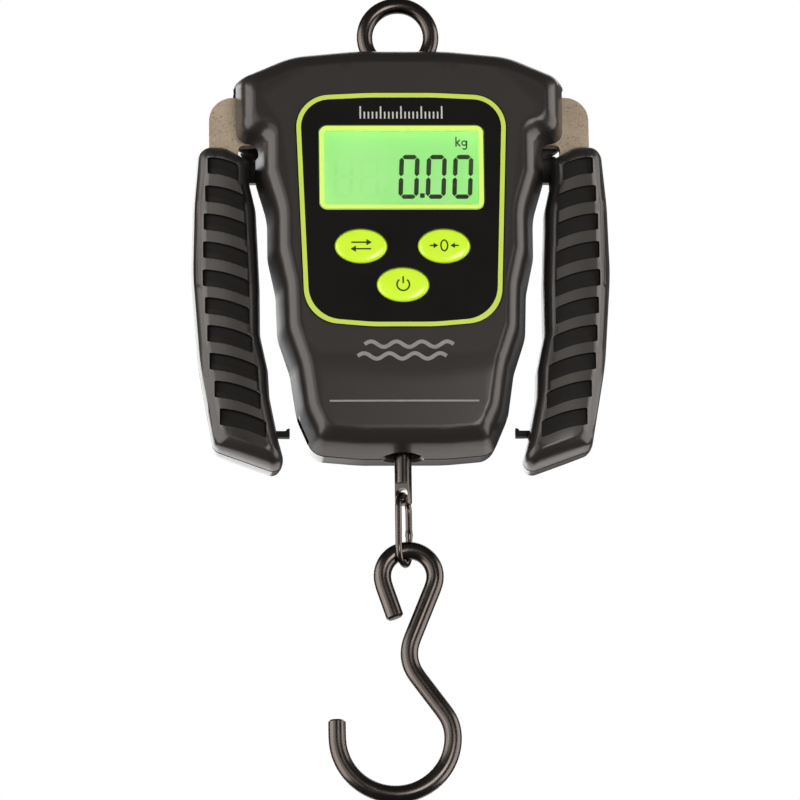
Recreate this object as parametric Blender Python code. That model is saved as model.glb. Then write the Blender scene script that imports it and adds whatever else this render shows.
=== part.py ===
"""Digital fishing scale with two fold-out grips, as an assembly of separate parts.

Sizes are in millimetres until a mesh is made. Heights (z) are measured from the hole in the
base of the housing; the assembly empty then puts the world origin at the centre of the
hanging eye. The front faces -Y, and the eye, arms, load cell and hook lie in the plane y = 0.
"""

import math

import bmesh
import bpy
from mathutils import Matrix, Vector

MM = 0.001
GAP = 0.3

# Housing
EYE_Z = 122.8
FRONT_Y = -15.0
REAR_Y = 15.0
TOP_Z = 118.0
SIDE_X = 47.0
FLANK_PITCH = 23.0
# Depth from the parting plane and inset from the outline: a tapered front and a squarer rear.
SHELL_LEVELS = {
    -1: ((0.15, 0.0), (6.0, 1.3), (11.0, 2.9), (14.4, 5.4), (15.0, 6.3)),
    1: ((0.15, 0.0), (10.0, 0.5), (12.8, 1.1), (14.3, 2.2), (15.0, 4.0)),
}
CAVITY_LEVELS = {
    -1: ((0.15, 2.0), (9.0, 4.2), (13.2, 7.6)),
    1: ((0.15, 2.0), (11.0, 2.6), (13.2, 4.4)),
}
LIP_SIZE = (7.6, 6.8)

# Face panel, display and keys
PANEL_TOP_Z = 102.4
PANEL_BOTTOM_Z = 34.5
PANEL_HALF_TOP = 29.9
PANEL_HALF_BOTTOM = 27.6
DISPLAY_Z = 80.7
DISPLAY_SIZE = (46.2, 24.1)
DISPLAY_RIM = 1.15
KEY_SIZE = (14.2, 9.5)
KEYS = {"unit": (-11.7, 57.8), "tare": (11.7, 57.8), "power": (0.0, 46.6)}

# Frame, arms and grips
PIVOT = (42.6, 95.2)
PIN_R = 1.5
ARM_HALF = 2.0
PLATE_T = 1.5
GRIP_HALF = 10.5
GRIP_SLOTS = 10
SLOT_TOP_Z = 85.6
SLOT_PITCH = 8.13
SLOT_HEIGHT = 4.9
SLOT_TILT = math.radians(17.5)
SLOT_DEPTH = 2.2
SCREWED_SLOTS = (2, 7)

# Hook train
SHAFT_R = 2.45
SHAFT_TURN = math.radians(22)
SHAFT_TOP_Z = 61.6
SHAFT_END_Z = -13.4
SHAFT_HOLE_Z = -10.6
LINK_WIRE_R = 0.95
LINK_HALF_WIDTH = 4.4
LINK_TOP_Z = -10.8
LINK_BOTTOM_Z = -30.6
HOOK_R = 2.5
HOOK_LOOP = (1.2, -34.0, 7.5)
HOOK_BIGHT = (-3.15, -80.25, 16.25)
HOOK_NECK = (-0.4, -57.8)
HOOK_ELBOW = (12.2, -75.0)

# Load cell, yoke and batteries
CELL_Z = (63.0, 95.6)
CELL_PIN_Z = 91.0
YOKE_Z = (53.0, 71.0)
YOKE_PIN_Z = 67.0
EYE_PIN_Z = 101.5
BATTERY_X = 12.5
BATTERY_Y = 6.6
BATTERY_R = 5.2
BATTERY_Z = (7.2, 51.2)
TRAY_Z = (5.0, 52.8)
SCREW_SPOTS = ((26.0, 106.0), (30.0, 58.0), (23.5, 19.0))


# ---------------------------------------------------------------- materials

MATERIALS = {
    "housing_plastic": ((0.055, 0.049, 0.045), 0.42, 0.0),
    "panel_black": ((0.008, 0.008, 0.008), 0.12, 0.0),
    "lime_plastic": ((0.62, 0.85, 0.06), 0.3, 0.0),
    "clear_plastic": ((0.75, 0.85, 0.7), 0.08, 0.0),
    "lcd_green": ((0.38, 0.80, 0.25), 0.3, 0.0),
    "white_plastic": ((0.85, 0.85, 0.8), 0.5, 0.0),
    "board_green": ((0.02, 0.16, 0.06), 0.4, 0.0),
    "black_plastic": ((0.012, 0.012, 0.012), 0.45, 0.0),
    "black_rubber": ((0.015, 0.015, 0.015), 0.7, 0.0),
    "arm_metal": ((0.50, 0.38, 0.25), 0.45, 0.7),
    "frame_steel": ((0.55, 0.55, 0.56), 0.3, 1.0),
    "gunmetal": ((0.13, 0.12, 0.115), 0.16, 1.0),
    "cell_aluminium": ((0.75, 0.75, 0.77), 0.3, 1.0),
    "spring_steel": ((0.7, 0.68, 0.62), 0.25, 1.0),
    "battery_jacket": ((0.05, 0.18, 0.45), 0.35, 0.2),
    "screw_zinc": ((0.35, 0.35, 0.36), 0.3, 1.0),
}


def material(name):
    """The named material, made the first time it is asked for."""
    if name in bpy.data.materials:
        return bpy.data.materials[name]
    colour, roughness, metallic = MATERIALS[name]
    made = bpy.data.materials.new(name)
    made.use_nodes = True
    shader = made.node_tree.nodes["Principled BSDF"]
    shader.inputs["Base Color"].default_value = (*colour, 1.0)
    shader.inputs["Roughness"].default_value = roughness
    shader.inputs["Metallic"].default_value = metallic
    return made


# ---------------------------------------------------------------- objects

def clear_scene():
    for obj in list(bpy.data.objects):
        bpy.data.objects.remove(obj, do_unlink=True)


def empty(name, x, y, z, parent=None):
    """An empty on a joint's axis, in millimetres of the assembly."""
    made = bpy.data.objects.new(name, None)
    made.empty_display_size = 5 * MM
    bpy.context.scene.collection.objects.link(made)
    made.location = Vector((x, y, z)) * MM
    made.parent = parent
    return made


def add_object(name, mesh, look, parent=None):
    """Puts a mesh that is in assembly coordinates under an empty, without moving it."""
    made = bpy.data.objects.new(name, mesh)
    bpy.context.scene.collection.objects.link(made)
    made.data.materials.append(material(look))
    holder = parent or bpy.data.objects["assembly"]
    made.parent = holder
    if parent is not None:
        made.matrix_parent_inverse = Matrix.Translation(-parent.location)
    return made


def loft(name, rings, look, parent=None, closed=False):
    """A closed solid through rings of equal point counts, capped at both ends unless closed."""
    bm = bmesh.new()
    rows = [[bm.verts.new(Vector(point) * MM) for point in ring] for ring in rings]
    count = len(rows[0])
    pairs = list(zip(rows, rows[1:]))
    if closed:
        pairs.append((rows[-1], rows[0]))
    for low, high in pairs:
        for i in range(count):
            j = (i + 1) % count
            bm.faces.new((low[i], low[j], high[j], high[i]))
    if not closed:
        bm.faces.new(rows[0])
        bm.faces.new(rows[-1])
    bmesh.ops.recalc_face_normals(bm, faces=bm.faces[:])
    mesh = bpy.data.meshes.new(name)
    bm.to_mesh(mesh)
    bm.free()
    mesh.shade_smooth()
    mesh.set_sharp_from_angle(angle=math.radians(32))
    return add_object(name, mesh, look, parent)


def hide_tool(tool):
    tool.hide_render = True
    tool.display_type = "WIRE"


def combine(target, tool, operation):
    """Cuts or joins with a helper object, which then stays out of the render."""
    modifier = target.modifiers.new(tool.name, "BOOLEAN")
    modifier.operation = operation
    modifier.solver = "EXACT"
    modifier.object = tool
    hide_tool(tool)


def cut(target, *tools):
    for tool in tools:
        combine(target, tool, "DIFFERENCE")


def join(target, *tools):
    for tool in tools:
        combine(target, tool, "UNION")


# ---------------------------------------------------------------- outlines

def turn_of(corners, index):
    """Signed turn at a corner of a clockwise outline: negative where it is convex."""
    here = Vector(corners[index][:2])
    before = here - Vector(corners[index - 1][:2])
    after = Vector(corners[(index + 1) % len(corners)][:2]) - here
    return before.cross(after)


def inset(corners, distance):
    """The outline of (x, z, radius, steps) corners moved inwards, with its arcs kept concentric."""
    moved = []
    for index, (x, z, radius, steps) in enumerate(corners):
        here = Vector((x, z))
        before = (here - Vector(corners[index - 1][:2])).normalized()
        after = (Vector(corners[(index + 1) % len(corners)][:2]) - here).normalized()
        inward = Vector((before.y, -before.x)) + Vector((after.y, -after.x))
        inward *= distance / (inward.length_squared / 2)
        grow = distance if turn_of(corners, index) > 0 else -distance
        moved.append((x + inward.x, z + inward.y, max(radius + grow, 0.4), steps))
    return moved


def rounded(corners):
    """Points of a closed outline in which every corner is an arc of its own radius."""
    points = []
    for index, (x, z, radius, steps) in enumerate(corners):
        here = Vector((x, z))
        before = Vector(corners[index - 1][:2]) - here
        after = Vector(corners[(index + 1) % len(corners)][:2]) - here
        half = before.angle(after) / 2
        reach = min(radius / math.tan(half), 0.49 * before.length, 0.49 * after.length)
        radius = reach * math.tan(half)
        centre = here + (before.normalized() + after.normalized()).normalized() * radius / math.sin(half)
        start = here + before.normalized() * reach - centre
        sweep = (math.pi - 2 * half) * (1 if turn_of(corners, index) > 0 else -1)
        for step in range(steps + 1):
            points.append(centre + Matrix.Rotation(sweep * step / steps, 2) @ start)
    return points


def at_y(points, y):
    return [(point[0], y, point[1]) for point in points]


def circle(x, z, radius, steps=16):
    """Clockwise circle, seen from the front."""
    turn = -2 * math.pi / steps
    return [(x + radius * math.cos(turn * i), z + radius * math.sin(turn * i)) for i in range(steps)]


def box_outline(x0, x1, z0, z1):
    return [(x0, z0), (x0, z1), (x1, z1), (x1, z0)]


def round_box(x, z, width, height, radius, steps=4):
    """Rounded rectangle about its centre."""
    a, b = width / 2, height / 2
    corners = [(x - a, z - b), (x - a, z + b), (x + a, z + b), (x + a, z - b)]
    return rounded([(cx, cz, radius, steps) for cx, cz in corners])


def slab(name, outline, y0, y1, look="black_plastic", parent=None):
    """A flat piece of constant outline between two depths."""
    return loft(name, [at_y(outline, y0), at_y(outline, y1)], look, parent)


def block(name, x0, x1, y0, y1, z0, z1, look="black_plastic", parent=None):
    return slab(name, box_outline(x0, x1, z0, z1), y0, y1, look, parent)


def upright(name, profile, look, x=0.0, y=0.0, steps=20, parent=None):
    """A turned piece about a vertical axis, from (radius, z) pairs."""
    rings = []
    for radius, z in profile:
        turn = [2 * math.pi * i / steps for i in range(steps)]
        rings.append([(x + radius * math.cos(t), y + radius * math.sin(t), z) for t in turn])
    return loft(name, rings, look, parent)


def cross_pin(name, x, z, profile, look, parent=None, steps=14):
    """A turned piece about an axis along Y, from (radius, y) pairs."""
    rings = [at_y(circle(x, z, radius, steps), y) for radius, y in profile]
    return loft(name, rings, look, parent)


def arc(x, z, radius, start, end, steps):
    """Points of an arc from one angle to another, in degrees."""
    angles = [math.radians(start + (end - start) * i / steps) for i in range(steps + 1)]
    return [(x + radius * math.cos(a), z + radius * math.sin(a)) for a in angles]


def rod(name, path, radius, look, closed=False, sides=12, parent=None):
    """A round rod bent along points (x, y, z), with square ends."""
    points = [Vector(point) for point in path]
    rings = []
    normal = None
    for i, here in enumerate(points):
        if closed:
            along = points[(i + 1) % len(points)] - points[i - 1]
        else:
            along = points[min(i + 1, len(points) - 1)] - points[max(i - 1, 0)]
        along.normalize()
        if normal is None:
            normal = along.orthogonal().normalized()
        normal = (normal - along * normal.dot(along)).normalized()
        across = along.cross(normal)
        turn = [2 * math.pi * k / sides for k in range(sides)]
        rings.append([here + radius * (normal * math.cos(t) + across * math.sin(t)) for t in turn])
    return loft(name, rings, look, parent, closed)


# ---------------------------------------------------------------- housing

def housing_outline():
    """Clockwise corners of the housing at its parting line: shoulders, lip, finger waves, base."""
    right = [
        (13.0, TOP_Z, 60.0, 1),
        (31.0, 116.3, 25.0, 1),
        (SIDE_X, 109.4, 5.0, 3),
        (SIDE_X, 90.3, 4.0, 3),
        (40.7, 89.3, 2.5, 2),
        (40.7, 79.6, 6.0, 1),
        (37.6, 69.0, 20.0, 2),
        (37.6, 57.5, 14.0, 2),
        (35.4, 47.0, 14.0, 2),
        (35.0, 57.5 - FLANK_PITCH, 14.0, 2),
        (31.6, 47.0 - FLANK_PITCH, 14.0, 2),
        (29.8, 57.5 - 2 * FLANK_PITCH, 14.0, 2),
        (25.3, 0.9, 5.5, 3),
        (12.0, -0.3, 60.0, 1),
    ]
    left = [(-x, z, radius, steps) for x, z, radius, steps in reversed(right)]
    return right + left


def shell(name, side):
    """One half of the housing as an open cup; side is -1 for the front and +1 for the rear."""
    corners = housing_outline()
    rings = [at_y(rounded(inset(corners, far)), side * y) for y, far in reversed(SHELL_LEVELS[side])]
    rings += [at_y(rounded(inset(corners, far)), side * y) for y, far in CAVITY_LEVELS[side]]
    body = loft(name, rings, "housing_plastic")
    for index, (x, z) in enumerate(mirrored(SCREW_SPOTS)):
        floor = side * (12.0 if side < 0 and z < 100 else 13.7)
        join(body, slab(f"{name}_boss_{index}", circle(x, z, 2.9, 10), side * 0.3, floor))
    for x, z in mirrored([PIVOT]):
        near, far = side * 4.4, side * (10.5 if side < 0 else 13.7)
        join(body, slab(f"{name}_pivot_boss_{x:.0f}", circle(x * 0.965, z, 2.4, 10), near, far))
    for x in (-1, 1):
        slot = box_outline(*sorted((x * 38.5, x * 50.0)), 86.6, 107.4)
        cut(body, slab(f"{name}_arm_slot_{x}", slot, -4.2, 4.2))
        catch = box_outline(*sorted((x * 22.0, x * 32.0)), 4.2, 11.6)
        cut(body, slab(f"{name}_catch_slot_{x}", catch, -2.0, 2.0))
    cut(body, upright(f"{name}_shaft_hole", [(5.2, -3.0), (5.2, 3.5)], "black_plastic", steps=24))
    eye_slot = round_box(0, 116.0, 25.4, 16.0, 2.0)
    cut(body, slab(f"{name}_eye_slot", eye_slot, -2.8, 2.8))
    return body


def mirrored(spots):
    return [(side * x, z) for x, z in spots for side in (-1, 1)]


def panel_outline(margin=0.0):
    """Face panel: narrower at the bottom, with round corners and bowed ends."""
    top, bottom = PANEL_HALF_TOP, PANEL_HALF_BOTTOM
    right = [
        (9.0, PANEL_TOP_Z, 60.0, 1),
        (top, PANEL_TOP_Z - 1.0, 9.5, 5),
        (bottom, PANEL_BOTTOM_Z + 1.6, 13.0, 6),
        (9.0, PANEL_BOTTOM_Z, 60.0, 1),
    ]
    left = [(-x, z, radius, steps) for x, z, radius, steps in reversed(right)]
    return rounded(inset(right + left, margin))


def key_outline(name, margin=0.0, steps=24):
    x, z = KEYS[name]
    a, b = KEY_SIZE[0] / 2 + margin, KEY_SIZE[1] / 2 + margin
    turn = -2 * math.pi / steps
    return [(x + a * math.cos(turn * i), z + b * math.sin(turn * i)) for i in range(steps)]


def display_outline(margin=0.0, radius=2.1):
    width, height = DISPLAY_SIZE
    return round_box(0, DISPLAY_Z, width + 2 * margin, height + 2 * margin, radius + margin)


def make_front_shell():
    body = shell("front_shell", -1)
    cut(body, slab("panel_recess", panel_outline(-GAP), FRONT_Y - 2, FRONT_Y + 0.9))
    cut(body, slab("display_window", display_outline(GAP), FRONT_Y - 2, FRONT_Y + 3))
    for name in KEYS:
        cut(body, slab(f"{name}_window", key_outline(name, 0.35), FRONT_Y - 2, FRONT_Y + 3))
    for index, (x, z) in enumerate(mirrored(SCREW_SPOTS)):
        cut(body, slab(f"screw_bore_{index}", circle(x, z, 1.5, 8), -9.0, 1.0))
    return body


def cover_outline(margin=0.0):
    return round_box(0, 28.0, 39.4 + 2 * margin, 49.6 + 2 * margin, 3.0 + margin)


def make_rear_shell():
    body = shell("rear_shell", 1)
    width, height = LIP_SIZE
    for x in (-1, 1):
        lip = round_box(x * 41.6, 86.5, width, height, 0.8, 2)
        join(body, slab(f"rear_lip_{x}", lip, 11.2, 13.6))
    cut(body, slab("cover_opening", cover_outline(GAP), REAR_Y - 3, REAR_Y + 1))
    for index, (x, z) in enumerate(mirrored(SCREW_SPOTS)):
        cut(body, slab(f"screw_hole_{index}", circle(x, z, 1.5, 8), -1.0, REAR_Y + 1))
        cut(body, slab(f"screw_head_hole_{index}", circle(x, z, 2.5, 12), REAR_Y - 2.4, REAR_Y + 1))
    return body


def make_battery_cover():
    """Lift-off cover with a ribbed thumb grip at its top end."""
    cover = slab("battery_cover", cover_outline(), REAR_Y - 1.7, REAR_Y, "housing_plastic")
    for index in range(5):
        z = 46.5 - 1.9 * index
        groove = round_box(0, z, 16.0 - 1.6 * index, 0.9, 0.4, 2)
        cut(cover, slab(f"cover_groove_{index}", groove, REAR_Y - 0.5, REAR_Y + 1))
    return cover


def make_face():
    """Glossy panel, display stack and keys."""
    panel = slab("face_panel", panel_outline(), FRONT_Y - 0.35, FRONT_Y + 0.6, "panel_black")
    cut(panel, slab("panel_display_window", display_outline(GAP), FRONT_Y - 2, FRONT_Y + 2))
    for name in KEYS:
        cut(panel, slab(f"panel_{name}_window", key_outline(name, 0.3), FRONT_Y - 2, FRONT_Y + 2))
    rim = DISPLAY_RIM
    bezel = slab("display_bezel", display_outline(), FRONT_Y - 0.8, FRONT_Y + 2.6, "lime_plastic")
    cut(bezel, slab("bezel_window", display_outline(-rim, 2.1), FRONT_Y - 2, FRONT_Y + 4))
    lens = display_outline(-rim - 0.25, 2.0)
    slab("display_lens", lens, FRONT_Y - 0.1, FRONT_Y + 0.9, "clear_plastic")
    width = DISPLAY_SIZE[0] / 2
    block("lcd_panel", -width, width, -11.9, -10.6, 66.4, 92.6, "lcd_green")
    block("backlight_panel", -width, width, -10.3, -9.4, 69.0, 92.6, "white_plastic")
    block("lcd_connector", -20.0, 20.0, -10.3, -9.4, 66.6, 68.6, "black_rubber")
    board = block("circuit_board", -25.0, 25.0, -9.1, -7.9, 41.0, 94.5, "board_green")
    board_holes = [(x, z) for x in (-22.0, 22.0) for z in (44.0, 62.5)]
    for index, (x, z) in enumerate(board_holes):
        cut(board, slab(f"board_hole_{index}", circle(x, z, 1.2, 10), -10.0, -7.0))
    block("controller_chip", 11.0, 18.0, -7.6, -6.4, 48.0, 55.0, "black_plastic")
    for name, (x, z) in KEYS.items():
        make_switch(name, x, z)
        make_key(name, x, z)


def make_switch(name, x, z):
    body = slab(f"switch_{name}", box_outline(x - 3, x + 3, z - 3, z + 3), -10.6, -9.4)
    join(body, slab(f"switch_{name}_plunger", circle(x, z, 1.5, 12), -11.0, -10.0))


def make_key(name, x, z):
    """Oval key with a crowned top and a wider foot that keeps it behind the shell."""
    axis = empty(f"key_{name}_slide", x, FRONT_Y, z, bpy.data.objects["assembly"])
    levels = ((-0.9, -1.0), (-0.75, -0.35), (-0.4, 0.0), (2.2, 0.0), (2.2, 0.9), (3.0, 0.9))
    rings = [at_y(key_outline(name, margin), FRONT_Y + depth) for depth, margin in levels]
    loft(f"button_{name}", rings, "lime_plastic", axis)


# ---------------------------------------------------------------- power

def make_batteries():
    """Two upright cells behind the display, in a tray that is open to the rear."""
    low, high = TRAY_Z
    depth = (0.6, REAR_Y - 4.6)
    tray = block("battery_tray", -19.2, 19.2, *depth, low, high)
    for side in (-1, 1):
        x = side * BATTERY_X
        well = box_outline(x - 5.5, x + 5.5, low + 0.8, high - 0.8)
        cut(tray, slab(f"battery_well_{side}", well, depth[0] + 0.8, depth[1] + 1))
    cut(tray, block("tray_spine_gap", -5.8, 5.8, depth[0] - 1, depth[0] + 4.4, low - 1, high + 1))
    low_contact, high_contact = low + 1.1, high - 1.05
    for number, side in ((1, -1), (2, 1)):
        x = side * BATTERY_X
        bottom, top = BATTERY_Z
        profile = [(BATTERY_R - 0.4, bottom), (BATTERY_R, bottom + 0.4), (BATTERY_R, top - 1.6),
                   (BATTERY_R - 0.5, top - 1.1), (1.9, top - 1.0), (1.9, top - 0.1)]
        upright(f"battery_{number}", profile, "battery_jacket", x, BATTERY_Y, 16)
        spring = [(x + r * math.cos(t), BATTERY_Y + r * math.sin(t), z)
                  for r, t, z in spring_turns(low_contact, bottom - GAP)]
        rod(f"battery_spring_{number}", spring, 0.2, "spring_steel", sides=5)
        strip = box_outline(x - 4, x + 4, high_contact - 0.3, high_contact)
        slab(f"battery_contact_{number}", strip, 2.4, 10.0, "spring_steel")


def spring_turns(low, high, turns=1.5, steps=16):
    """A short conical coil: (radius, angle, height)."""
    wire = 0.2
    for i in range(steps + 1):
        share = i / steps
        yield 3.6 - 1.4 * share, 2 * math.pi * turns * share, low + wire + (high - low - 2 * wire) * share


# ---------------------------------------------------------------- frame and load cell

def frame_outline():
    """Steel cross-member with round ends about the arm pivots and a deep middle."""
    px, pz = PIVOT
    half = [
        (11.0, pz + 10.5, 3.0, 2),
        (18.0, pz + 3.6, 6.0, 2),
        (px + 3.6, pz + 3.6, 3.59, 4),
        (px + 3.6, pz - 3.6, 3.59, 4),
        (18.0, pz - 3.6, 6.0, 2),
        (11.0, pz - 10.5, 3.0, 2),
    ]
    return rounded(half + [(-x, z, r, n) for x, z, r, n in reversed(half)])


def make_frame():
    for name, side in (("frame_plate_front", -1), ("frame_plate_rear", 1)):
        near, far = side * (ARM_HALF + GAP), side * (ARM_HALF + GAP + PLATE_T)
        plate = slab(name, frame_outline(), near, far, "frame_steel")
        holes = mirrored([PIVOT]) + [(0.0, EYE_PIN_Z), (0.0, CELL_PIN_Z)]
        for index, (x, z) in enumerate(holes):
            cut(plate, slab(f"{name}_hole_{index}", circle(x, z, PIN_R + 0.3, 14), -6, 6))
    for name, x in (("left_pivot_pin", -PIVOT[0]), ("right_pivot_pin", PIVOT[0])):
        cross_pin(name, x, PIVOT[1], [(PIN_R, -4.1), (PIN_R, 4.1)], "frame_steel")
    head = [(2.6, -5.2), (2.6, -4.1), (PIN_R, -4.1), (PIN_R, 4.6)]
    cross_pin("eye_pin", 0.0, EYE_PIN_Z, head, "frame_steel")
    cross_pin("load_cell_pin", 0.0, CELL_PIN_Z, head, "frame_steel")


def make_eye():
    ring = [(x, 0.0, z) for x, z in arc(0, EYE_Z, 9.4, 0, 360, 28)[:-1]]
    eye = rod("hanging_eye", ring, 2.25, "gunmetal", closed=True, sides=12)
    tongue = rounded([(-5.0, 97.2, 4.0, 3), (-3.4, 112.6, 0.4, 1), (3.4, 112.6, 0.4, 1), (5.0, 97.2, 4.0, 3)])
    join(eye, slab("eye_tongue", tongue, -ARM_HALF, ARM_HALF))
    cut(eye, slab("eye_tongue_hole", circle(0, EYE_PIN_Z, PIN_R + 0.3, 14), -6, 6))


def make_load_cell():
    """Flat S-shaped cell: two slots from opposite edges leave the beam that bends."""
    low, high = CELL_Z
    plate = rounded([(-11.5, low, 2.0, 2), (-11.5, high, 2.0, 2), (11.5, high, 2.0, 2), (11.5, low, 2.0, 2)])
    cell = slab("load_cell", plate, -ARM_HALF, ARM_HALF, "cell_aluminium")
    cut(cell, block("cell_slot_low", -7.5, 13.0, -3, 3, 72.6, 73.8))
    cut(cell, block("cell_slot_high", -13.0, 7.5, -3, 3, 84.4, 85.6))
    for name, z in (("low", YOKE_PIN_Z), ("high", CELL_PIN_Z)):
        cut(cell, slab(f"cell_hole_{name}", circle(0, z, PIN_R + 0.3, 14), -3, 3))
    cut(cell, slab("cell_centre_hole", circle(0, 79.1, 3.2, 16), -3, 3))
    block("strain_gauge", 4.2, 9.8, -2.7, -2.3, 76.6, 81.6, "board_green")
    lead = [(10.4, -3.0, 79.0), (12.2, -3.4, 78.0), (13.6, -4.2, 75.0), (14.2, -5.2, 71.0), (14.4, -6.2, 66.5),
            (14.4, -7.1, 63.0)]
    rod("gauge_cable", lead, 0.5, "black_rubber", sides=8)


def make_yoke():
    low, high = YOKE_Z
    yoke = block("swivel_yoke", -6.0, 6.0, -6.0, 6.0, low, high, "frame_steel")
    cut(yoke, block("yoke_gap", -8.0, 8.0, -4.6, 4.6, low + 3.0, high + 2))
    cut(yoke, upright("yoke_bore", [(SHAFT_R + GAP, low - 1), (SHAFT_R + GAP, low + 5)], "frame_steel"))
    cut(yoke, slab("yoke_pin_hole", circle(0, YOKE_PIN_Z, PIN_R + 0.3, 14), -8, 8))
    cross_pin("yoke_pin", 0.0, YOKE_PIN_Z, [(2.6, -7.4), (2.6, -6.3), (PIN_R, -6.3), (PIN_R, 6.6)], "frame_steel")
    washer = upright("thrust_washer", [(4.2, low + 3.3), (4.2, low + 4.1)], "spring_steel")
    cut(washer, upright("washer_bore", [(SHAFT_R + GAP, low), (SHAFT_R + GAP, low + 6)], "spring_steel"))


# ---------------------------------------------------------------- hook train

def make_shaft():
    """Swivelling shaft with a nut above the yoke and a pierced end below the housing."""
    swivel = empty("shaft_swivel", 0, 0, 0, bpy.data.objects["assembly"])
    end, top = SHAFT_END_Z, SHAFT_TOP_Z
    profile = [(SHAFT_R - 0.5, end), (SHAFT_R, end + 0.4), (SHAFT_R, top - 0.4), (SHAFT_R - 0.4, top)]
    shaft = upright("hook_shaft", profile, "gunmetal", parent=swivel)
    turn = Matrix.Rotation(-SHAFT_TURN, 4, "Z")
    eye = slab("shaft_eye_hole", circle(0, SHAFT_HOLE_Z, 1.8, 14), -4, 4)
    flats = [block(f"shaft_flat_{side}", -4, 4, *sorted((side * 1.5, side * 4.0)), end - 1, -7.4) for side in (-1, 1)]
    for tool in (eye, *flats):
        tool.data.transform(turn)
        cut(shaft, tool)
    hexagon = [(4.2 * math.cos(a), 4.2 * math.sin(a)) for a in (math.radians(60 * i) for i in range(6))]
    low, high = YOKE_Z[0] + 4.4, YOKE_Z[0] + 7.6
    nut = loft("shaft_nut", [[(x, y, z) for x, y in hexagon] for z in (low, high)], "frame_steel", swivel)
    bore = SHAFT_R + GAP / 2
    cut(nut, upright("nut_bore", [(bore, low - 1), (bore, high + 1)], "frame_steel"))


def make_link():
    """Wire link whose plane is turned with the hole in the shaft."""
    pivot = empty("link_swing", 0, 0, LINK_TOP_Z, bpy.data.objects["assembly"])
    half, radius = LINK_HALF_WIDTH, LINK_HALF_WIDTH
    outline = arc(0, LINK_TOP_Z - radius, radius, 180, 0, 8) + arc(0, LINK_BOTTOM_Z + radius, radius, 0, -180, 8)
    path = [(w * math.sin(SHAFT_TURN), w * math.cos(SHAFT_TURN), z) for w, z in outline]
    middle = (LINK_TOP_Z + LINK_BOTTOM_Z) / 2
    side = (half * math.sin(SHAFT_TURN), half * math.cos(SHAFT_TURN), middle)
    path.insert(9, side)
    path.append((-side[0], -side[1], middle))
    rod("chain_link", path, LINK_WIRE_R, "gunmetal", closed=True, sides=8, parent=pivot)


def hook_path():
    """Centre line of the S-hook: short end, upper loop, neck and open bight."""
    lx, lz, loop_r = HOOK_LOOP
    bx, bz, bight_r = HOOK_BIGHT
    entry, leave, join_angle = 198.6, -22.2, 8.0
    loop = arc(lx, lz, loop_r, entry, leave, 14)
    bight = arc(bx, bz, bight_r, join_angle, -180, 17)
    slope = math.radians(entry - 180)
    tip = (loop[0][0] + 10.2 * math.sin(slope), loop[0][1] - 10.2 * math.cos(slope))
    neck = bend(loop[-1], HOOK_NECK, HOOK_ELBOW, 10.5, 4)
    elbow = bend(neck[-1], HOOK_ELBOW, bight[0], 10.0, 2)
    straight_up = (bx - bight_r, bz + 5.0)
    return [tip, *loop, *neck, *elbow, *bight, straight_up]


def bend(before, corner, after, radius, steps):
    """Arc that rounds one corner of an open path."""
    a = Vector(before) - Vector(corner)
    b = Vector(after) - Vector(corner)
    half = a.angle(b) / 2
    reach = radius / math.tan(half)
    centre = Vector(corner) + (a.normalized() + b.normalized()).normalized() * radius / math.sin(half)
    start = Vector(corner) + a.normalized() * reach - centre
    sweep = (math.pi - 2 * half) * (1 if b.cross(a) > 0 else -1)
    return [tuple(centre + Matrix.Rotation(sweep * i / steps, 2) @ start) for i in range(steps + 1)]


def make_hook():
    pivot = empty("hook_swing", 0, 0, HOOK_LOOP[1] + HOOK_LOOP[2], bpy.data.objects["assembly"])
    path = [(x, 0.0, z) for x, z in hook_path()]
    rod("s_hook", path, HOOK_R, "gunmetal", sides=12, parent=pivot)


# ---------------------------------------------------------------- arms and grips

def grip_corners():
    """Clockwise corners of the left grip: straight back, waved inner side for the fingers."""
    return [
        (-53.3, 2.2, 3.0, 2),
        (-57.4, 26.0, 90.0, 1),
        (-59.2, 52.0, 90.0, 1),
        (-58.6, 72.0, 60.0, 1),
        (-57.0, 89.4, 3.6, 3),
        (-49.5, 89.3, 6.0, 2),
        (-42.4, 85.2, 1.5, 2),
        (-42.6, 79.0, 10.0, 2),
        (-40.8, 71.0, 14.0, 2),
        (-40.3, 59.0, 12.0, 2),
        (-39.9, 48.0, 12.0, 2),
        (-39.9, 34.5, 12.0, 2),
        (-37.8, 24.5, 12.0, 2),
        (-37.4, 16.5, 12.0, 2),
        (-35.2, 5.0, 10.0, 1),
        (-32.6, -5.4, 4.2, 4),
    ]


def edge_x(corners, z, outer):
    """Where the straight-sided outline of the grip crosses a height."""
    found = []
    for (x0, z0, *_), (x1, z1, *_) in zip(corners, corners[1:] + corners[:1]):
        if min(z0, z1) <= z < max(z0, z1):
            found.append(x0 + (x1 - x0) * (z - z0) / (z1 - z0))
    return min(found) if outer else max(found)


def slot_outline(index):
    """One slanted finger slot, its upper edge falling towards the inner side."""
    corners = grip_corners()
    top = SLOT_TOP_Z - SLOT_PITCH * index
    left = edge_x(corners, top - 2, True) + 3.0
    right = edge_x(corners, top - 6, False) - 3.2
    drop = (right - left) * math.tan(SLOT_TILT)
    low = top - SLOT_HEIGHT
    return [(left, low), (left, top), (right, top - drop), (right, low - drop)]


def screw_spots():
    """Grip screws sit in two of the slots."""
    spots = []
    for index in SCREWED_SLOTS:
        outline = slot_outline(index)
        spots.append((sum(p[0] for p in outline) / len(outline) - 1.0, sum(p[1] for p in outline) / len(outline)))
    return spots


def flipped(points, side):
    """The left-hand outline, or its mirror image for the right."""
    return points if side < 0 else [(-point[0], *point[1:]) for point in reversed(points)]


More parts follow.
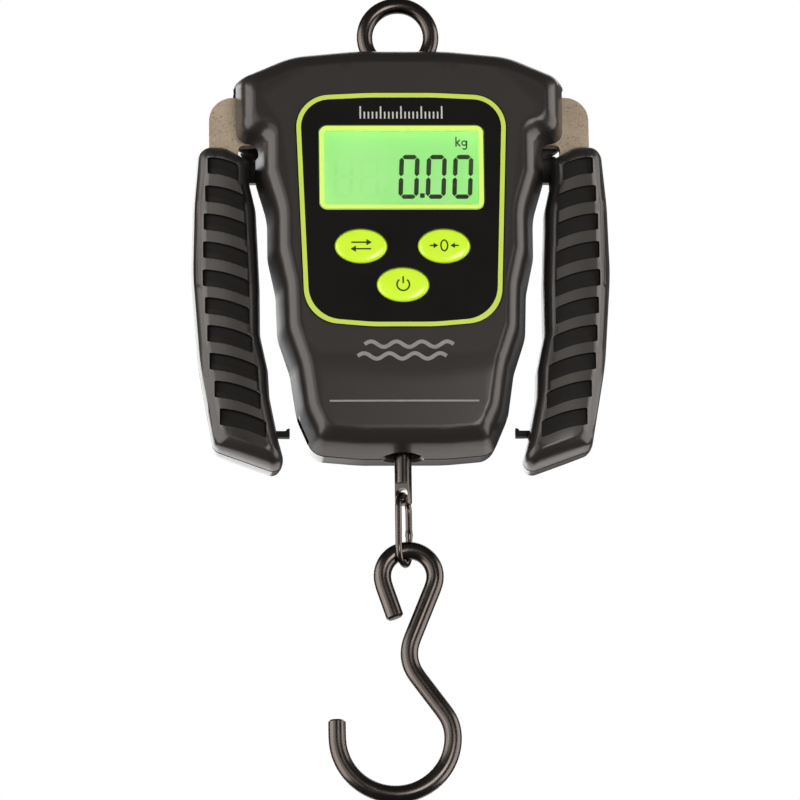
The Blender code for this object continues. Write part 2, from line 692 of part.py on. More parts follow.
def make_grip(word, side, pivot):
    """Front and rear halves that clamp the arm plate, with a slot for the arm at the top."""
    corners = grip_corners()
    front = ((GRIP_HALF, 3.2), (GRIP_HALF - 0.9, 1.5), (GRIP_HALF - 3.4, 0.4), (0.15, 0.0))
    rear = ((GRIP_HALF, 2.4), (GRIP_HALF - 0.5, 1.1), (GRIP_HALF - 1.9, 0.4), (0.15, 0.0))
    inner = ((0.15, 3.0), (5.8, 3.2))
    for half, depth, outer in (("front", -1, front), ("rear", 1, rear)):
        name = f"{word}_grip_{half}"
        rings = [at_y(flipped(rounded(inset(corners, far)), side), depth * y) for y, far in outer + inner]
        grip = loft(name, rings, "housing_plastic", pivot)
        far, near = depth * (GRIP_HALF + 1), depth * (GRIP_HALF - SLOT_DEPTH)
        for index, (x, z) in enumerate(screw_spots()):
            ring = flipped(circle(x, z, 2.9, 10), side)
            join(grip, slab(f"{name}_boss_{index}", ring, depth * 2.4, depth * 6.4))
        for index in range(GRIP_SLOTS):
            cut(grip, slab(f"{name}_slot_{index}", flipped(slot_outline(index), side), far, near))
        mouth = flipped(box_outline(-54.8, -40.0, 77.0, 95.0), side)
        cut(grip, slab(f"{name}_mouth", mouth, -ARM_HALF - 2.3, ARM_HALF + 2.3))
        window = flipped(box_outline(-39.0, -30.0, 4.6, 9.9), side)
        cut(grip, slab(f"{name}_catch_window", window, -1.8, 1.8))
        for index, (x, z) in enumerate(screw_spots()):
            hole = flipped(circle(x, z, 1.55, 8), side)
            reach = depth * (11 if half == "rear" else 7.2)
            cut(grip, slab(f"{name}_screw_hole_{index}", hole, 0, reach))
            if half == "rear":
                seat = flipped(circle(x, z, 2.45, 12), side)
                cut(grip, slab(f"{name}_screw_seat_{index}", seat, GRIP_HALF - SLOT_DEPTH - 1.5, 11))
    for number, (x, z) in enumerate(screw_spots(), 1):
        seat = GRIP_HALF - SLOT_DEPTH - 1.2
        profile = [(1.2, -6.4), (1.2, seat), (2.1, seat), (2.1, seat + 1.1)]
        make_screw(f"{word}_grip_screw_{number}", side * abs(x), z, profile, pivot)


def make_screw(name, x, z, profile, parent=None):
    """Cross-head screw along Y with its head at the rear."""
    screw = cross_pin(name, x, z, profile, "screw_zinc", parent, 10)
    head_y = profile[-1][1]
    for index, (wide, tall) in enumerate(((2.4, 0.6), (0.6, 2.4))):
        slot = box_outline(x - wide / 2, x + wide / 2, z - tall / 2, z + tall / 2)
        cut(screw, slab(f"{name}_cross_{index}", slot, head_y - 0.5, head_y + 1))


def make_arm(word, side, pivot):
    """Steel arm: boss at the pivot, round outer corner, and a blade down into the grip."""
    px, pz = PIVOT
    corners = [
        (-54.0, 60.0, 60.0, 1),
        (-53.8, 104.6, 6.8, 6),
        (-px + 6.2, pz + 9.4, 6.0, 5),
        (-px + 6.2, pz - 4.4, 4.0, 5),
        (-45.6, pz - 4.6, 1.5, 2),
        (-45.4, 60.0, 60.0, 1),
        (-42.6, 20.5, 2.0, 2),
        (-50.6, 18.5, 2.0, 2),
    ]
    arm = slab(f"{word}_arm", flipped(rounded(corners), side), -ARM_HALF, ARM_HALF, "arm_metal", pivot)
    bevel = arm.modifiers.new("edge", "BEVEL")
    bevel.width = 0.5 * MM
    bevel.segments = 1
    bevel.limit_method = "ANGLE"
    bevel.angle_limit = math.radians(50)
    cut(arm, slab(f"{word}_arm_pivot_hole", circle(side * px, pz, PIN_R + 0.3, 14), -4, 4))
    for index, (x, z) in enumerate(screw_spots()):
        cut(arm, slab(f"{word}_arm_screw_hole_{index}", circle(side * abs(x), z, 1.6, 12), -4, 4))


def make_catch(word, side, pivot):
    """Hooked tab that enters the flank when the grip is folded right in."""
    corners = [(-38.6, 6.0), (-38.6, 7.7), (-32.9, 7.7), (-32.7, 8.2), (-31.8, 8.5), (-31.8, 5.9)]
    slab(f"{word}_catch", flipped(corners, side), -1.4, 1.4, "black_plastic", pivot)


# ---------------------------------------------------------------- assembly

def main():
    clear_scene()
    assembly = empty("assembly", 0, 0, -EYE_Z)
    make_front_shell()
    make_rear_shell()
    make_battery_cover()
    make_face()
    make_batteries()
    make_frame()
    make_eye()
    make_load_cell()
    make_yoke()
    make_shaft()
    make_link()
    make_hook()
    for word, side in (("left", -1), ("right", 1)):
        pivot = empty(f"{word}_fold_axis", side * PIVOT[0], 0, PIVOT[1], assembly)
        make_arm(word, side, pivot)
        make_grip(word, side, pivot)
        make_catch(word, side, pivot)
    for number, (x, z) in enumerate(mirrored(SCREW_SPOTS), 1):
        seat = REAR_Y - 2.1
        profile = [(1.2, -8.0), (1.2, seat), (2.2, seat), (2.2, seat + 1.3)]
        make_screw(f"housing_screw_{number}", x, z, profile)


main()
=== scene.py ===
"""Looks of the digital fish scale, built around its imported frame.

Lengths in the tables are millimetres, with heights measured from the hole in the base of the
housing, and every mesh is made in metres in the frame's own axes.
"""

from math import atan2, copysign, cos, exp, pi, radians, sin, tan

import bmesh
import bpy
from mathutils import Matrix, Vector


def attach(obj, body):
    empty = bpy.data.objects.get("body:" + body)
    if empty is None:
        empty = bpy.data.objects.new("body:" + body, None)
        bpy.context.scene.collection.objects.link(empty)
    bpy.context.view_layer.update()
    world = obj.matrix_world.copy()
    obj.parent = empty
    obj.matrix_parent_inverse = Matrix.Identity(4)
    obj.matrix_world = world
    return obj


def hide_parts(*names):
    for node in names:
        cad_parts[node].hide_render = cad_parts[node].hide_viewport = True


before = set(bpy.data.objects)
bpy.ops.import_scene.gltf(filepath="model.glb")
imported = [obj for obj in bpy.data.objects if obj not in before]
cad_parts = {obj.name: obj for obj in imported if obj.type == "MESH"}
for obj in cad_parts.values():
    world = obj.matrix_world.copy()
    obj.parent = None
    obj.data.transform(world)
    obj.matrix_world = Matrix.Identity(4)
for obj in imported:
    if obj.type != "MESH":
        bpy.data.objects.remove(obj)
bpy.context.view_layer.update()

MM = 0.001
# The frame's origin is the centre of the hanging eye, this far above the base of the housing.
EYE_Z = 122.8
FRONT_Y = -15.0
REAR_Y = 15.0

# Depth from the parting plane and inset from the outline, for a half of the housing.
SHELL_PROFILE = {
    -1: ((0.15, 0.3), (0.5, 0.0), (3.5, 0.6), (7.0, 1.3), (9.4, 1.85), (10.4, 2.1), (11.4, 2.4),
         (12.3, 2.85), (13.1, 3.4), (13.75, 4.0), (14.3, 4.65), (14.7, 5.3), (14.92, 5.95), (15.0, 6.6)),
    1: ((0.15, 0.3), (0.5, 0.0), (5.0, 0.25), (9.0, 0.5), (11.6, 0.9), (12.9, 1.35), (13.8, 1.95),
        (14.5, 2.8), (14.88, 3.7), (15.0, 4.6)),
}
CAVITY_PROFILE = {-1: ((0.15, 2.0), (9.0, 4.2), (13.0, 7.6)), 1: ((0.15, 2.0), (11.0, 2.6), (13.0, 4.6))}
GRIP_PROFILE = {
    -1: ((0.15, 0.3), (0.5, 0.0), (3.6, 0.08), (6.4, 0.42), (8.0, 0.95), (9.1, 1.6), (9.85, 2.35),
         (10.3, 3.1), (10.5, 3.8)),
    1: ((0.15, 0.3), (0.5, 0.0), (4.0, 0.1), (7.6, 0.35), (9.0, 0.75), (9.8, 1.35), (10.3, 2.2), (10.5, 3.2)),
}
GRIP_CAVITY = ((0.15, 2.6), (5.2, 3.2))
# How far the broad face of a grip falls back across its outer part.
CROWN = 3.6
CROWN_POWER = 2.2
CROWN_FROM_X = 42.0
CROWN_WIDTH = 16.0

PANEL_TOP_Z = 102.4
PANEL_BOTTOM_Z = 34.5
PANEL_HALF_TOP = 29.9
PANEL_HALF_BOTTOM = 27.6
PANEL_FACE_Y = FRONT_Y - 0.35
DISPLAY_Z = 80.7
DISPLAY_SIZE = (46.2, 24.1)
DISPLAY_RIM = 1.15
KEY_SIZE = (14.2, 9.5)
KEYS = {"unit": (-11.7, 57.8), "tare": (11.7, 57.8), "power": (0.0, 46.6)}

PIVOT = (42.6, 95.2)
ARM_HALF = 2.0
GRIP_HALF = 10.5
GRIP_SLOTS = 10
SLOT_TOP_Z = 85.6
SLOT_PITCH = 8.13
SLOT_HEIGHT = 4.9
SLOT_TILT = radians(17.5)
SLOT_BOW = 0.55
SLOT_CORNER = 0.45
SLOT_STEPS = 14
SCREWED_SLOTS = (2, 7)

SHAFT_R = 2.45
SHAFT_TURN = radians(22)
LINK_HALF_WIDTH = 4.4
HOOK_R = 2.5
HOOK_LOOP = (1.2, -34.0, 7.5)
HOOK_BIGHT = (-3.15, -80.25, 16.25)
HOOK_NECK = (-0.4, -57.8)
HOOK_ELBOW = (12.2, -75.0)


# ------ outlines

def inset(corners, distance):
    """The outline of (x, z, radius, steps) corners moved inwards, with its arcs kept concentric."""
    moved = []
    for index, (x, z, radius, steps) in enumerate(corners):
        here = Vector((x, z))
        before = (here - Vector(corners[index - 1][:2])).normalized()
        after = (Vector(corners[(index + 1) % len(corners)][:2]) - here).normalized()
        inward = Vector((before.y, -before.x)) + Vector((after.y, -after.x))
        inward *= distance / (inward.length_squared / 2)
        grow = distance if before.cross(after) > 0 else -distance
        moved.append((x + inward.x, z + inward.y, max(radius + grow, min(radius, 4.0)), steps))
    return moved


def rounded(corners):
    """Points of a closed outline in which every corner is an arc of its own radius."""
    points = []
    for index, (x, z, radius, steps) in enumerate(corners):
        after = corners[(index + 1) % len(corners)]
        points += bend(corners[index - 1], (x, z), after, radius, steps, 0.49)
    return points


def ellipse(x, z, a, b, steps):
    """Clockwise ellipse, seen from the front."""
    turn = -2 * pi / steps
    return [(x + a * cos(turn * i), z + b * sin(turn * i)) for i in range(steps)]


def circle(x, z, radius, steps=32):
    return ellipse(x, z, radius, radius, steps)


def box_outline(x0, x1, z0, z1):
    return [(x0, z0), (x0, z1), (x1, z1), (x1, z0)]


def round_box(x, z, width, height, radius, steps=8):
    a, b = width / 2, height / 2
    corners = [(x - a, z - b), (x - a, z + b), (x + a, z + b), (x + a, z - b)]
    return rounded([(cx, cz, radius, steps) for cx, cz in corners])


def arc(x, z, radius, start, end, steps):
    """Points of an arc from one angle to another, in degrees."""
    angles = [radians(start + (end - start) * i / steps) for i in range(steps + 1)]
    return [(x + radius * cos(a), z + radius * sin(a)) for a in angles]


def bend(before, corner, after, radius, steps, share=1.0):
    """Arc that rounds one corner of a path, within a share of the side before and after it."""
    corner = Vector(corner)
    a = Vector(before[:2]) - corner
    b = Vector(after[:2]) - corner
    half = a.angle(b) / 2
    reach = min(radius / tan(half), share * a.length, share * b.length)
    radius = reach * tan(half)
    centre = corner + (a.normalized() + b.normalized()).normalized() * radius / sin(half)
    start = corner + a.normalized() * reach - centre
    sweep = (pi - 2 * half) * (1 if b.cross(a) > 0 else -1)
    return [tuple(centre + Matrix.Rotation(sweep * i / steps, 2) @ start) for i in range(steps + 1)]


def flipped(points, side):
    """The left-hand outline, or its mirror image for the right."""
    return points if side < 0 else [(-point[0], *point[1:]) for point in reversed(points)]


def both_sides(right):
    """A whole clockwise outline from the corners of its right-hand half."""
    return right + flipped(right, 1)


def mirrored(spots):
    return [(side * x, z) for x, z in spots for side in (-1, 1)]


# ------ meshes

def at_y(points, y):
    return [(point[0], y, point[1]) for point in points]


def place(point):
    """Millimetres above the base of the housing to metres in the frame."""
    return Vector((point[0], point[1], point[2] - EYE_Z)) * MM


def add_object(name, data):
    made = bpy.data.objects.new(name, data)
    bpy.context.scene.collection.objects.link(made)
    return made


def loft(name, rings, closed=False, sharp=34):
    """A closed solid through rings of equal point counts, capped at both ends unless closed."""
    bm = bmesh.new()
    rows = [[bm.verts.new(place(point)) for point in ring] for ring in rings]
    count = len(rows[0])
    pairs = list(zip(rows, rows[1:]))
    if closed:
        pairs.append((rows[-1], rows[0]))
    for low, high in pairs:
        for i in range(count):
            j = (i + 1) % count
            bm.faces.new((low[i], low[j], high[j], high[i]))
    if not closed:
        bm.faces.new(rows[0])
        bm.faces.new(rows[-1])
    bmesh.ops.recalc_face_normals(bm, faces=bm.faces[:])
    mesh = bpy.data.meshes.new(name)
    bm.to_mesh(mesh)
    bm.free()
    mesh.shade_smooth()
    mesh.set_sharp_from_angle(angle=radians(sharp))
    return add_object(name, mesh)


def slab(name, outline, y0, y1):
    return loft(name, [at_y(outline, y0), at_y(outline, y1)])


def cup(name, corners, outer, cavity, depth, side=-1):
    """Half of a hollow moulding, open at its parting plane; depth is -1 in front and +1 behind."""
    levels = [*reversed(outer), *cavity]
    return loft(name, [at_y(flipped(rounded(inset(corners, far)), side), depth * y) for y, far in levels])


def turned(name, profile, x, z, steps=32):
    """A turned piece about an axis along Y, from (radius, y) pairs."""
    return loft(name, [at_y(circle(x, z, radius, steps), y) for radius, y in profile])


def upright(name, profile, x=0.0, y=0.0, steps=48):
    """A turned piece about an upright axis, from (radius, z) pairs."""
    turn = [2 * pi * i / steps for i in range(steps)]
    rings = [[(x + r * cos(t), y + r * sin(t), z) for t in turn] for r, z in profile]
    return loft(name, rings)


def rod(name, path, radius, closed=False, sides=28, end_round=0.0):
    """A round rod bent along points; end_round softens its two cut ends."""
    points = [Vector(point) for point in path]
    rings = []
    normal = None
    for i, here in enumerate(points):
        if closed:
            along = points[(i + 1) % len(points)] - points[i - 1]
        else:
            along = points[min(i + 1, len(points) - 1)] - points[max(i - 1, 0)]
        along.normalize()
        normal = along.orthogonal() if normal is None else normal
        normal = (normal - along * normal.dot(along)).normalized()
        across = along.cross(normal)
        size = radius(i / len(points)) if callable(radius) else radius
        turns = [2 * pi * k / sides for k in range(sides)]
        ring = [here + size * (normal * cos(t) + across * sin(t)) for t in turns]
        if end_round and not closed and i in (0, len(points) - 1):
            inward = along if i == 0 else -along
            soft = [here + (p - here) * (1 - end_round / size) for p in ring]
            step = [p + inward * end_round for p in ring]
            rings += [soft, step] if i == 0 else [step, soft]
        else:
            rings.append(ring)
    return loft(name, rings, closed)


def bake(piece):
    """Gives a piece the mesh that its modifiers make, and clears them."""
    graph = bpy.context.evaluated_depsgraph_get()
    mesh = bpy.data.meshes.new_from_object(piece.evaluated_get(graph))
    piece.modifiers.clear()
    piece.data = mesh


def combine(target, tools, operation):
    """Cuts or joins with helper objects, and removes them."""
    for tool in tools:
        modifier = target.modifiers.new(tool.name, "BOOLEAN")
        modifier.operation = operation
        modifier.solver = "EXACT"
        modifier.object = tool
    bake(target)
    for tool in tools:
        bpy.data.objects.remove(tool, do_unlink=True)


def cut(target, *tools):
    combine(target, tools, "DIFFERENCE")


def join(target, *tools):
    combine(target, tools, "UNION")


def soften(piece, width, angle=38, segments=2, smooth=36):
    """Breaks the sharp edges with a small bevel and keeps the flats flat."""
    clean(piece)
    edge = piece.modifiers.new("edge", "BEVEL")
    edge.width = width * MM
    edge.segments = segments
    edge.limit_method = "ANGLE"
    edge.angle_limit = radians(angle)
    edge.miter_outer = "MITER_ARC"
    edge.harden_normals = False
    bake(piece)
    piece.data.shade_smooth()
    piece.data.set_sharp_from_angle(angle=radians(smooth))
    flats = piece.modifiers.new("flats", "WEIGHTED_NORMAL")
    flats.keep_sharp = True
    flats.weight = 100
    bpy.context.view_layer.update()
    bake(piece)


def clean(piece):
    """Removes the slivers that a Boolean leaves."""
    bm = bmesh.new()
    bm.from_mesh(piece.data)
    bmesh.ops.remove_doubles(bm, verts=bm.verts[:], dist=0.004 * MM)
    bmesh.ops.dissolve_degenerate(bm, edges=bm.edges[:], dist=0.002 * MM)
    bm.to_mesh(piece.data)
    bm.free()


def slice_up(piece, axis, low, high, step):
    """Divides the faces of a piece with evenly spaced planes, so that they can bend."""
    bm = bmesh.new()
    bm.from_mesh(piece.data)
    normal = Vector((0, 0, 0))
    normal[axis] = 1
    count = int((high - low) / step) + 1
    for i in range(count):
        at = Vector((0, 0, -EYE_Z))
        at[axis] += low + step * i
        geometry = bm.verts[:] + bm.edges[:] + bm.faces[:]
        bmesh.ops.bisect_plane(bm, geom=geometry, plane_co=at * MM, plane_no=normal, dist=1e-7)
    bm.to_mesh(piece.data)
    bm.free()


# ------ housing

CREASE_Z = 20.2
CREASE_RISE = 0.0046
CREASE_SLOPE = 0.062
CREASE_SOFT = 1.6


def lean(x, z):
    """How far the lower part of the front face leans back, in millimetres."""
    below = CREASE_Z + CREASE_RISE * x * x - z
    if below <= -CREASE_SOFT:
        return 0.0
    if below < CREASE_SOFT:
        return CREASE_SLOPE * (below + CREASE_SOFT) ** 2 / (4 * CREASE_SOFT)
    return CREASE_SLOPE * below


def lean_back(piece):
    """Leans the lower front of a piece back, fading out towards the parting plane."""
    for vertex in piece.data.vertices:
        x, y, z = vertex.co / MM
        if y < -1.0:
            vertex.co.y += lean(x, z + EYE_Z) * MM * min(1.0, (-y - 1.0) / 12.0)


def housing_outline():
    """Clockwise corners of the housing at its parting line: shoulders, lip, finger waves, base."""
    right = [
        (13.0, 118.0, 60.0, 8), (31.0, 116.3, 25.0, 8), (47.0, 109.4, 5.0, 12),
        (47.0, 90.3, 4.0, 12), (40.7, 89.3, 2.5, 6), (40.7, 79.6, 6.0, 6), (37.6, 69.0, 20.0, 8),
        (37.6, 57.5, 14.0, 8), (35.4, 47.0, 14.0, 8), (35.0, 34.5, 14.0, 8), (31.6, 24.0, 14.0, 8),
        (29.8, 11.5, 14.0, 8), (25.3, 0.9, 5.5, 10), (12.0, -0.3, 60.0, 6),
    ]
    return both_sides(right)


SCREW_SPOTS = ((26.0, 106.0), (30.0, 58.0), (23.5, 19.0))


def shell(name, depth):
    """One half of the housing with its screw bosses, before its own openings are cut."""
    body = cup(name, housing_outline(), SHELL_PROFILE[depth], CAVITY_PROFILE[depth], depth)
    bosses = []
    for x, z in mirrored(SCREW_SPOTS):
        # Shorter where the front face leans back or carries the panel.
        end = 12.0 if depth < 0 and z < 100 else 13.7
        bosses.append(slab("boss", circle(x, z, 2.9), depth * 0.3, depth * end))
    join(body, *bosses)
    tools = []
    for x in (-1, 1):
        slot = round_box(x * 44.25, 97.0, 11.5, 20.8, 0.6, 3)
        tools.append(slab("arm_slot", slot, -4.2, 4.2))
        catch = box_outline(*sorted((x * 22.0, x * 32.0)), 4.2, 11.6)
        tools.append(slab("catch_slot", catch, -2.0, 2.0))
    tools.append(upright("shaft_hole", [(6.1, -3.0), (6.1, -0.25), (5.2, 0.65), (5.2, 3.5)]))
    tools.append(slab("eye_slot", round_box(0, 116.0, 25.4, 16.0, 2.0), -2.8, 2.8))
    cut(body, *tools)
    return body


def panel_outline(margin=0.0):
    """Face panel: narrower at the bottom, with round corners and bowed ends."""
    top, bottom = PANEL_HALF_TOP, PANEL_HALF_BOTTOM
    right = [
        (9.0, PANEL_TOP_Z, 60.0, 10), (top, PANEL_TOP_Z - 1.0, 9.5, 16),
        (bottom, PANEL_BOTTOM_Z + 1.6, 13.0, 20), (9.0, PANEL_BOTTOM_Z, 60.0, 10),
    ]
    return rounded(inset(both_sides(right), margin))


def key_outline(name, margin=0.0, steps=72):
    width, height = KEY_SIZE
    return ellipse(*KEYS[name], width / 2 + margin, height / 2 + margin, steps)


def display_outline(margin=0.0, radius=2.1):
    width, height = DISPLAY_SIZE
    return round_box(0, DISPLAY_Z, width + 2 * margin, height + 2 * margin, radius + margin)


def cover_outline(margin=0.0):
    return round_box(0, 28.0, 39.4 + 2 * margin, 49.6 + 2 * margin, 3.0 + margin)


def make_front_shell():
    body = shell("housing_front", -1)
    slice_up(body, 2, 0.5, 27.5, 1.5)
    slice_up(body, 0, -27.0, 27.0, 4.5)
    lean_back(body)
    tools = [
        slab("panel_recess", panel_outline(-0.3), FRONT_Y - 2, FRONT_Y + 0.9),
        slab("display_window", display_outline(0.3), FRONT_Y - 2, FRONT_Y + 3),
    ]
    tools += [slab("key_window", key_outline(name, 0.35), FRONT_Y - 2, FRONT_Y + 3) for name in KEYS]
    cut(body, *tools)
    soften(body, 0.22)
    return body


def make_rear_shell():
    body = shell("housing_rear", 1)
    lips = [slab("lip", round_box(x * 41.6, 87.0, 7.6, 7.8, 0.8), 11.2, 13.6) for x in (-1, 1)]
    join(body, *lips)
    tools = [slab("cover_opening", cover_outline(0.3), REAR_Y - 3, REAR_Y + 1)]
    for x, z in mirrored(SCREW_SPOTS):
        tools.append(slab("screw_hole", circle(x, z, 1.5), -1.0, REAR_Y - 2.0))
        tools.append(slab("screw_head_hole", circle(x, z, 2.5), REAR_Y - 2.4, REAR_Y + 1))
    cut(body, *tools)
    soften(body, 0.22)
    return body


def make_battery_cover():
    """Lift-off cover with a thumb grip of five shortening grooves and an arrow below it."""
    cover = slab("battery_cover_moulded", cover_outline(), REAR_Y - 1.7, REAR_Y)
    tools = []
    for index in range(5):
        groove = round_box(0, 46.5 - 1.9 * index, 16.0 - 1.6 * index, 0.9, 0.4)
        tools.append(slab("cover_groove", groove, REAR_Y - 0.5, REAR_Y + 1))
    arrow = [(-2.6, 34.6), (2.6, 34.6), (0.0, 31.4)]
    tools.append(slab("cover_arrow", arrow, REAR_Y - 0.3, REAR_Y + 1))
    cut(cover, *tools)
    soften(cover, 0.18)
    return cover


def ring_plate(name, outer, inner, y0, y1):
    """A flat band between two outlines of equal point counts."""
    rings = [at_y(outer, y0), at_y(outer, y1), at_y(inner, y1), at_y(inner, y0)]
    return loft(name, rings, closed=True)


def make_face():
    """Glossy panel with an inlaid border, the display stack and the keys."""
    panel = slab("face_panel_glossy", panel_outline(), PANEL_FACE_Y, FRONT_Y + 0.6)
    tools = [slab("panel_display_window", display_outline(0.3), FRONT_Y - 2, FRONT_Y + 2)]
    tools += [slab("key_window", key_outline(name, 0.3), FRONT_Y - 2, FRONT_Y + 2) for name in KEYS]
    groove_y = PANEL_FACE_Y + 0.12
    tools.append(ring_plate("groove", panel_outline(-1.0), panel_outline(1.35), FRONT_Y - 1, groove_y))
    cut(panel, *tools)
    soften(panel, 0.1)
    border = ring_plate("panel_border", panel_outline(), panel_outline(1.3), PANEL_FACE_Y - 0.04, groove_y)
    soften(border, 0.05)
    rim = DISPLAY_RIM
    bezel = slab("display_frame", display_outline(), FRONT_Y - 0.8, FRONT_Y + 2.6)
    cut(bezel, slab("bezel_window", display_outline(-rim, 2.1), FRONT_Y - 2, FRONT_Y + 4))
    soften(bezel, 0.22, segments=3)
    lens = slab("display_window_lens", display_outline(-rim - 0.2, 2.0), FRONT_Y - 0.1, FRONT_Y + 0.9)
    soften(lens, 0.12)
    return panel, border, bezel, lens


def make_key(name):
    """Oval key with a crowned top and a wider foot that keeps it behind the shell."""
    levels = ((-0.84, -2.6), (-0.81, -1.7), (-0.74, -1.0), (-0.62, -0.5), (-0.44, -0.17), (-0.2, 0.0),
              (2.2, 0.0), (2.2, 0.9), (3.0, 0.9))
    rings = [at_y(key_outline(name, margin), FRONT_Y + depth) for depth, margin in levels]
    return loft(f"key_cap_{name}", rings)


# ------ marks

def bar(name, start, end, width, y, thick=0.06, rounding=True):
    """A flat printed stroke between two (x, z) points, with round ends."""
    a, b = Vector(start), Vector(end)
    along = (b - a).normalized()
    angle = atan2(along.y, along.x)
    half = width / 2
    count = 8 if rounding else 1
    points = []
    for centre, first in ((a, angle + pi / 2), (b, angle - pi / 2)):
        for i in range(count + 1):
            turn = first + pi * i / count
            points.append((centre.x + half * cos(turn), centre.y + half * sin(turn)))
    return slab(name, points[::-1], y, y + thick)


def ribbon(name, centre_line, width, y, thick=0.06, closed=False):
    """A flat printed line of constant width along (x, z) points; y is a number or a function of x and z."""
    points = [Vector(p) for p in centre_line]
    rings = []
    for i, here in enumerate(points):
        before = points[i - 1] if (i or closed) else here
        after = points[(i + 1) % len(points)] if (i + 1 < len(points) or closed) else here
        along = (after - before).normalized()
        side = Vector((-along.y, along.x)) * width / 2
        left, right = here + side, here - side
        depth_left = y(*left) if callable(y) else y
        depth_right = y(*right) if callable(y) else y
        rings.append([(left.x, depth_left, left.y), (right.x, depth_right, right.y),
                      (right.x, depth_right + thick, right.y), (left.x, depth_left + thick, left.y)])
    return loft(name, rings, closed)


def merged(name, parts):
    """Several meshes as one piece."""
    bm = bmesh.new()
    for part in parts:
        bm.from_mesh(part.data)
    mesh = bpy.data.meshes.new(name)
    bm.to_mesh(mesh)
    bm.free()
    for part in parts:
        bpy.data.objects.remove(part, do_unlink=True)
    return add_object(name, mesh)


DIGIT_CENTRES = (1.9, 9.6, 17.1)
GHOST_CENTRES = (-16.6, -9.2)
DIGIT_WIDTH = 5.65
DIGIT_LOW = 72.3
DIGIT_HIGH = 85.1
DIGIT_STROKE = 1.25
DIGIT_SLANT = 0.045
LCD_FACE_Y = -11.9
# The three straight strokes of the unit sign: a stem and two arms.
UNIT_STROKES = (((15.6, 87.6), (15.6, 90.4)), ((15.6, 88.5), (16.7, 89.5)), ((15.9, 88.7), (16.8, 87.6)))


def segment_outlines(centre, keys):
    """Seven-segment digit: six-sided strokes with thin gaps, leaning slightly to the right."""
    half, stroke, gap = DIGIT_WIDTH / 2, DIGIT_STROKE, 0.16
    left, right = -half + stroke / 2, half - stroke / 2
    base, top = DIGIT_LOW + stroke / 2, DIGIT_HIGH - stroke / 2
    middle = (DIGIT_LOW + DIGIT_HIGH) / 2
    ends = {
        "a": ((left, top), (right, top)),
        "g": ((left, middle), (right, middle)),
        "d": ((left, base), (right, base)),
        "f": ((left, middle), (left, top)),
        "b": ((right, middle), (right, top)),
        "e": ((left, base), (left, middle)),
        "c": ((right, base), (right, middle)),
    }
    outlines = []
    for key in keys:
        start, end = (Vector(p) for p in ends[key])
        along = (end - start).normalized()
        across = Vector((-along.y, along.x)) * stroke / 2
        tip, neck = along * gap, along * (gap + stroke / 2)
        points = [start + tip, start + neck + across, end - neck + across, end - tip,
                  end - neck - across, start + neck - across]
        outlines.append([(centre + p.x + DIGIT_SLANT * (p.y - DIGIT_LOW), p.y) for p in points])
    return outlines


def make_reading():
    """The number on the display, the unlit digits beside it, and the unit above."""
    y0 = LCD_FACE_Y - 0.1
    y1 = LCD_FACE_Y - 0.04

    def digits(centres, keys):
        return [slab("segment", o, y0, y1) for x in centres for o in segment_outlines(x, keys)]

    lit = digits(DIGIT_CENTRES, "abcdef")
    lit.append(slab("point", round_box(5.9, 73.25, 1.3, 1.3, 0.15, 3), y0, y1))
    lit += [bar("unit_stroke", start, end, 0.36, y0, rounding=False) for start, end in UNIT_STROKES]
    loop = arc(17.9, 88.55, 0.62, 0, 360, 24)[:-1]
    lit.append(ribbon("unit_loop", loop, 0.34, y0, closed=True))
    tail = [(18.58, 89.3)] + arc(17.96, 87.4, 0.62, 0, -150, 14)
    lit.append(ribbon("unit_tail", tail, 0.34, y0))
    unlit = digits(GHOST_CENTRES, "abcdefg") + digits(DIGIT_CENTRES, "g")
    return merged("reading_digits", lit), merged("reading_unlit", unlit)


def arrow_head(name, tip, direction, size, y):
    x, z = tip
    outline = [(x, z), (x - direction * size, z + size * 0.62), (x - direction * size, z - size * 0.62)]
    return slab(name, outline, y, y + 0.06)


def key_mark(name):
    """Plain symbols: two exchange arrows, a zero between two pointers, and a standby ring."""
    x, z = KEYS[name]
    y = FRONT_Y - 0.9
    parts = []
    if name == "unit":
        for way in (1, -1):
            level = z + 0.95 * way
            parts += [bar("line", (x - 2.6 * way, level), (x + 1.5 * way, level), 0.42, y),
                      arrow_head("head", (x + 3.0 * way, level), way, 1.5, y)]
    elif name == "tare":
        parts.append(ribbon("zero", ellipse(x, z, 0.95, 1.55, 30), 0.42, y, closed=True))
        for way in (1, -1):
            parts += [bar("line", (x - 3.9 * way, z), (x - 2.9 * way, z), 0.42, y),
                      arrow_head("head", (x - 1.7 * way, z), way, 1.3, y)]
    else:
        parts = [ribbon("ring", arc(x, z - 0.1, 1.75, 128, 412, 40), 0.44, y),
                 bar("line", (x, z + 0.4), (x, z + 2.1), 0.44, y)]
    return merged(f"key_mark_{name}", parts)


def make_scale_marks():
    """A row of graduation ticks above the display, every fifth one long."""
    y = PANEL_FACE_Y - 0.05
    parts = []
    for i in range(21):
        tall = 3.6 if i % 5 == 0 else 2.0
        x = -11.5 + 23.0 * i / 20
        parts.append(bar("tick", (x, 94.9), (x, 94.9 + tall), 0.42, y, rounding=False))
    return merged("graduation_marks", parts)


def print_y(x, z):
    """Just in front of the face of the housing."""
    return FRONT_Y + lean(x, z) - 0.04


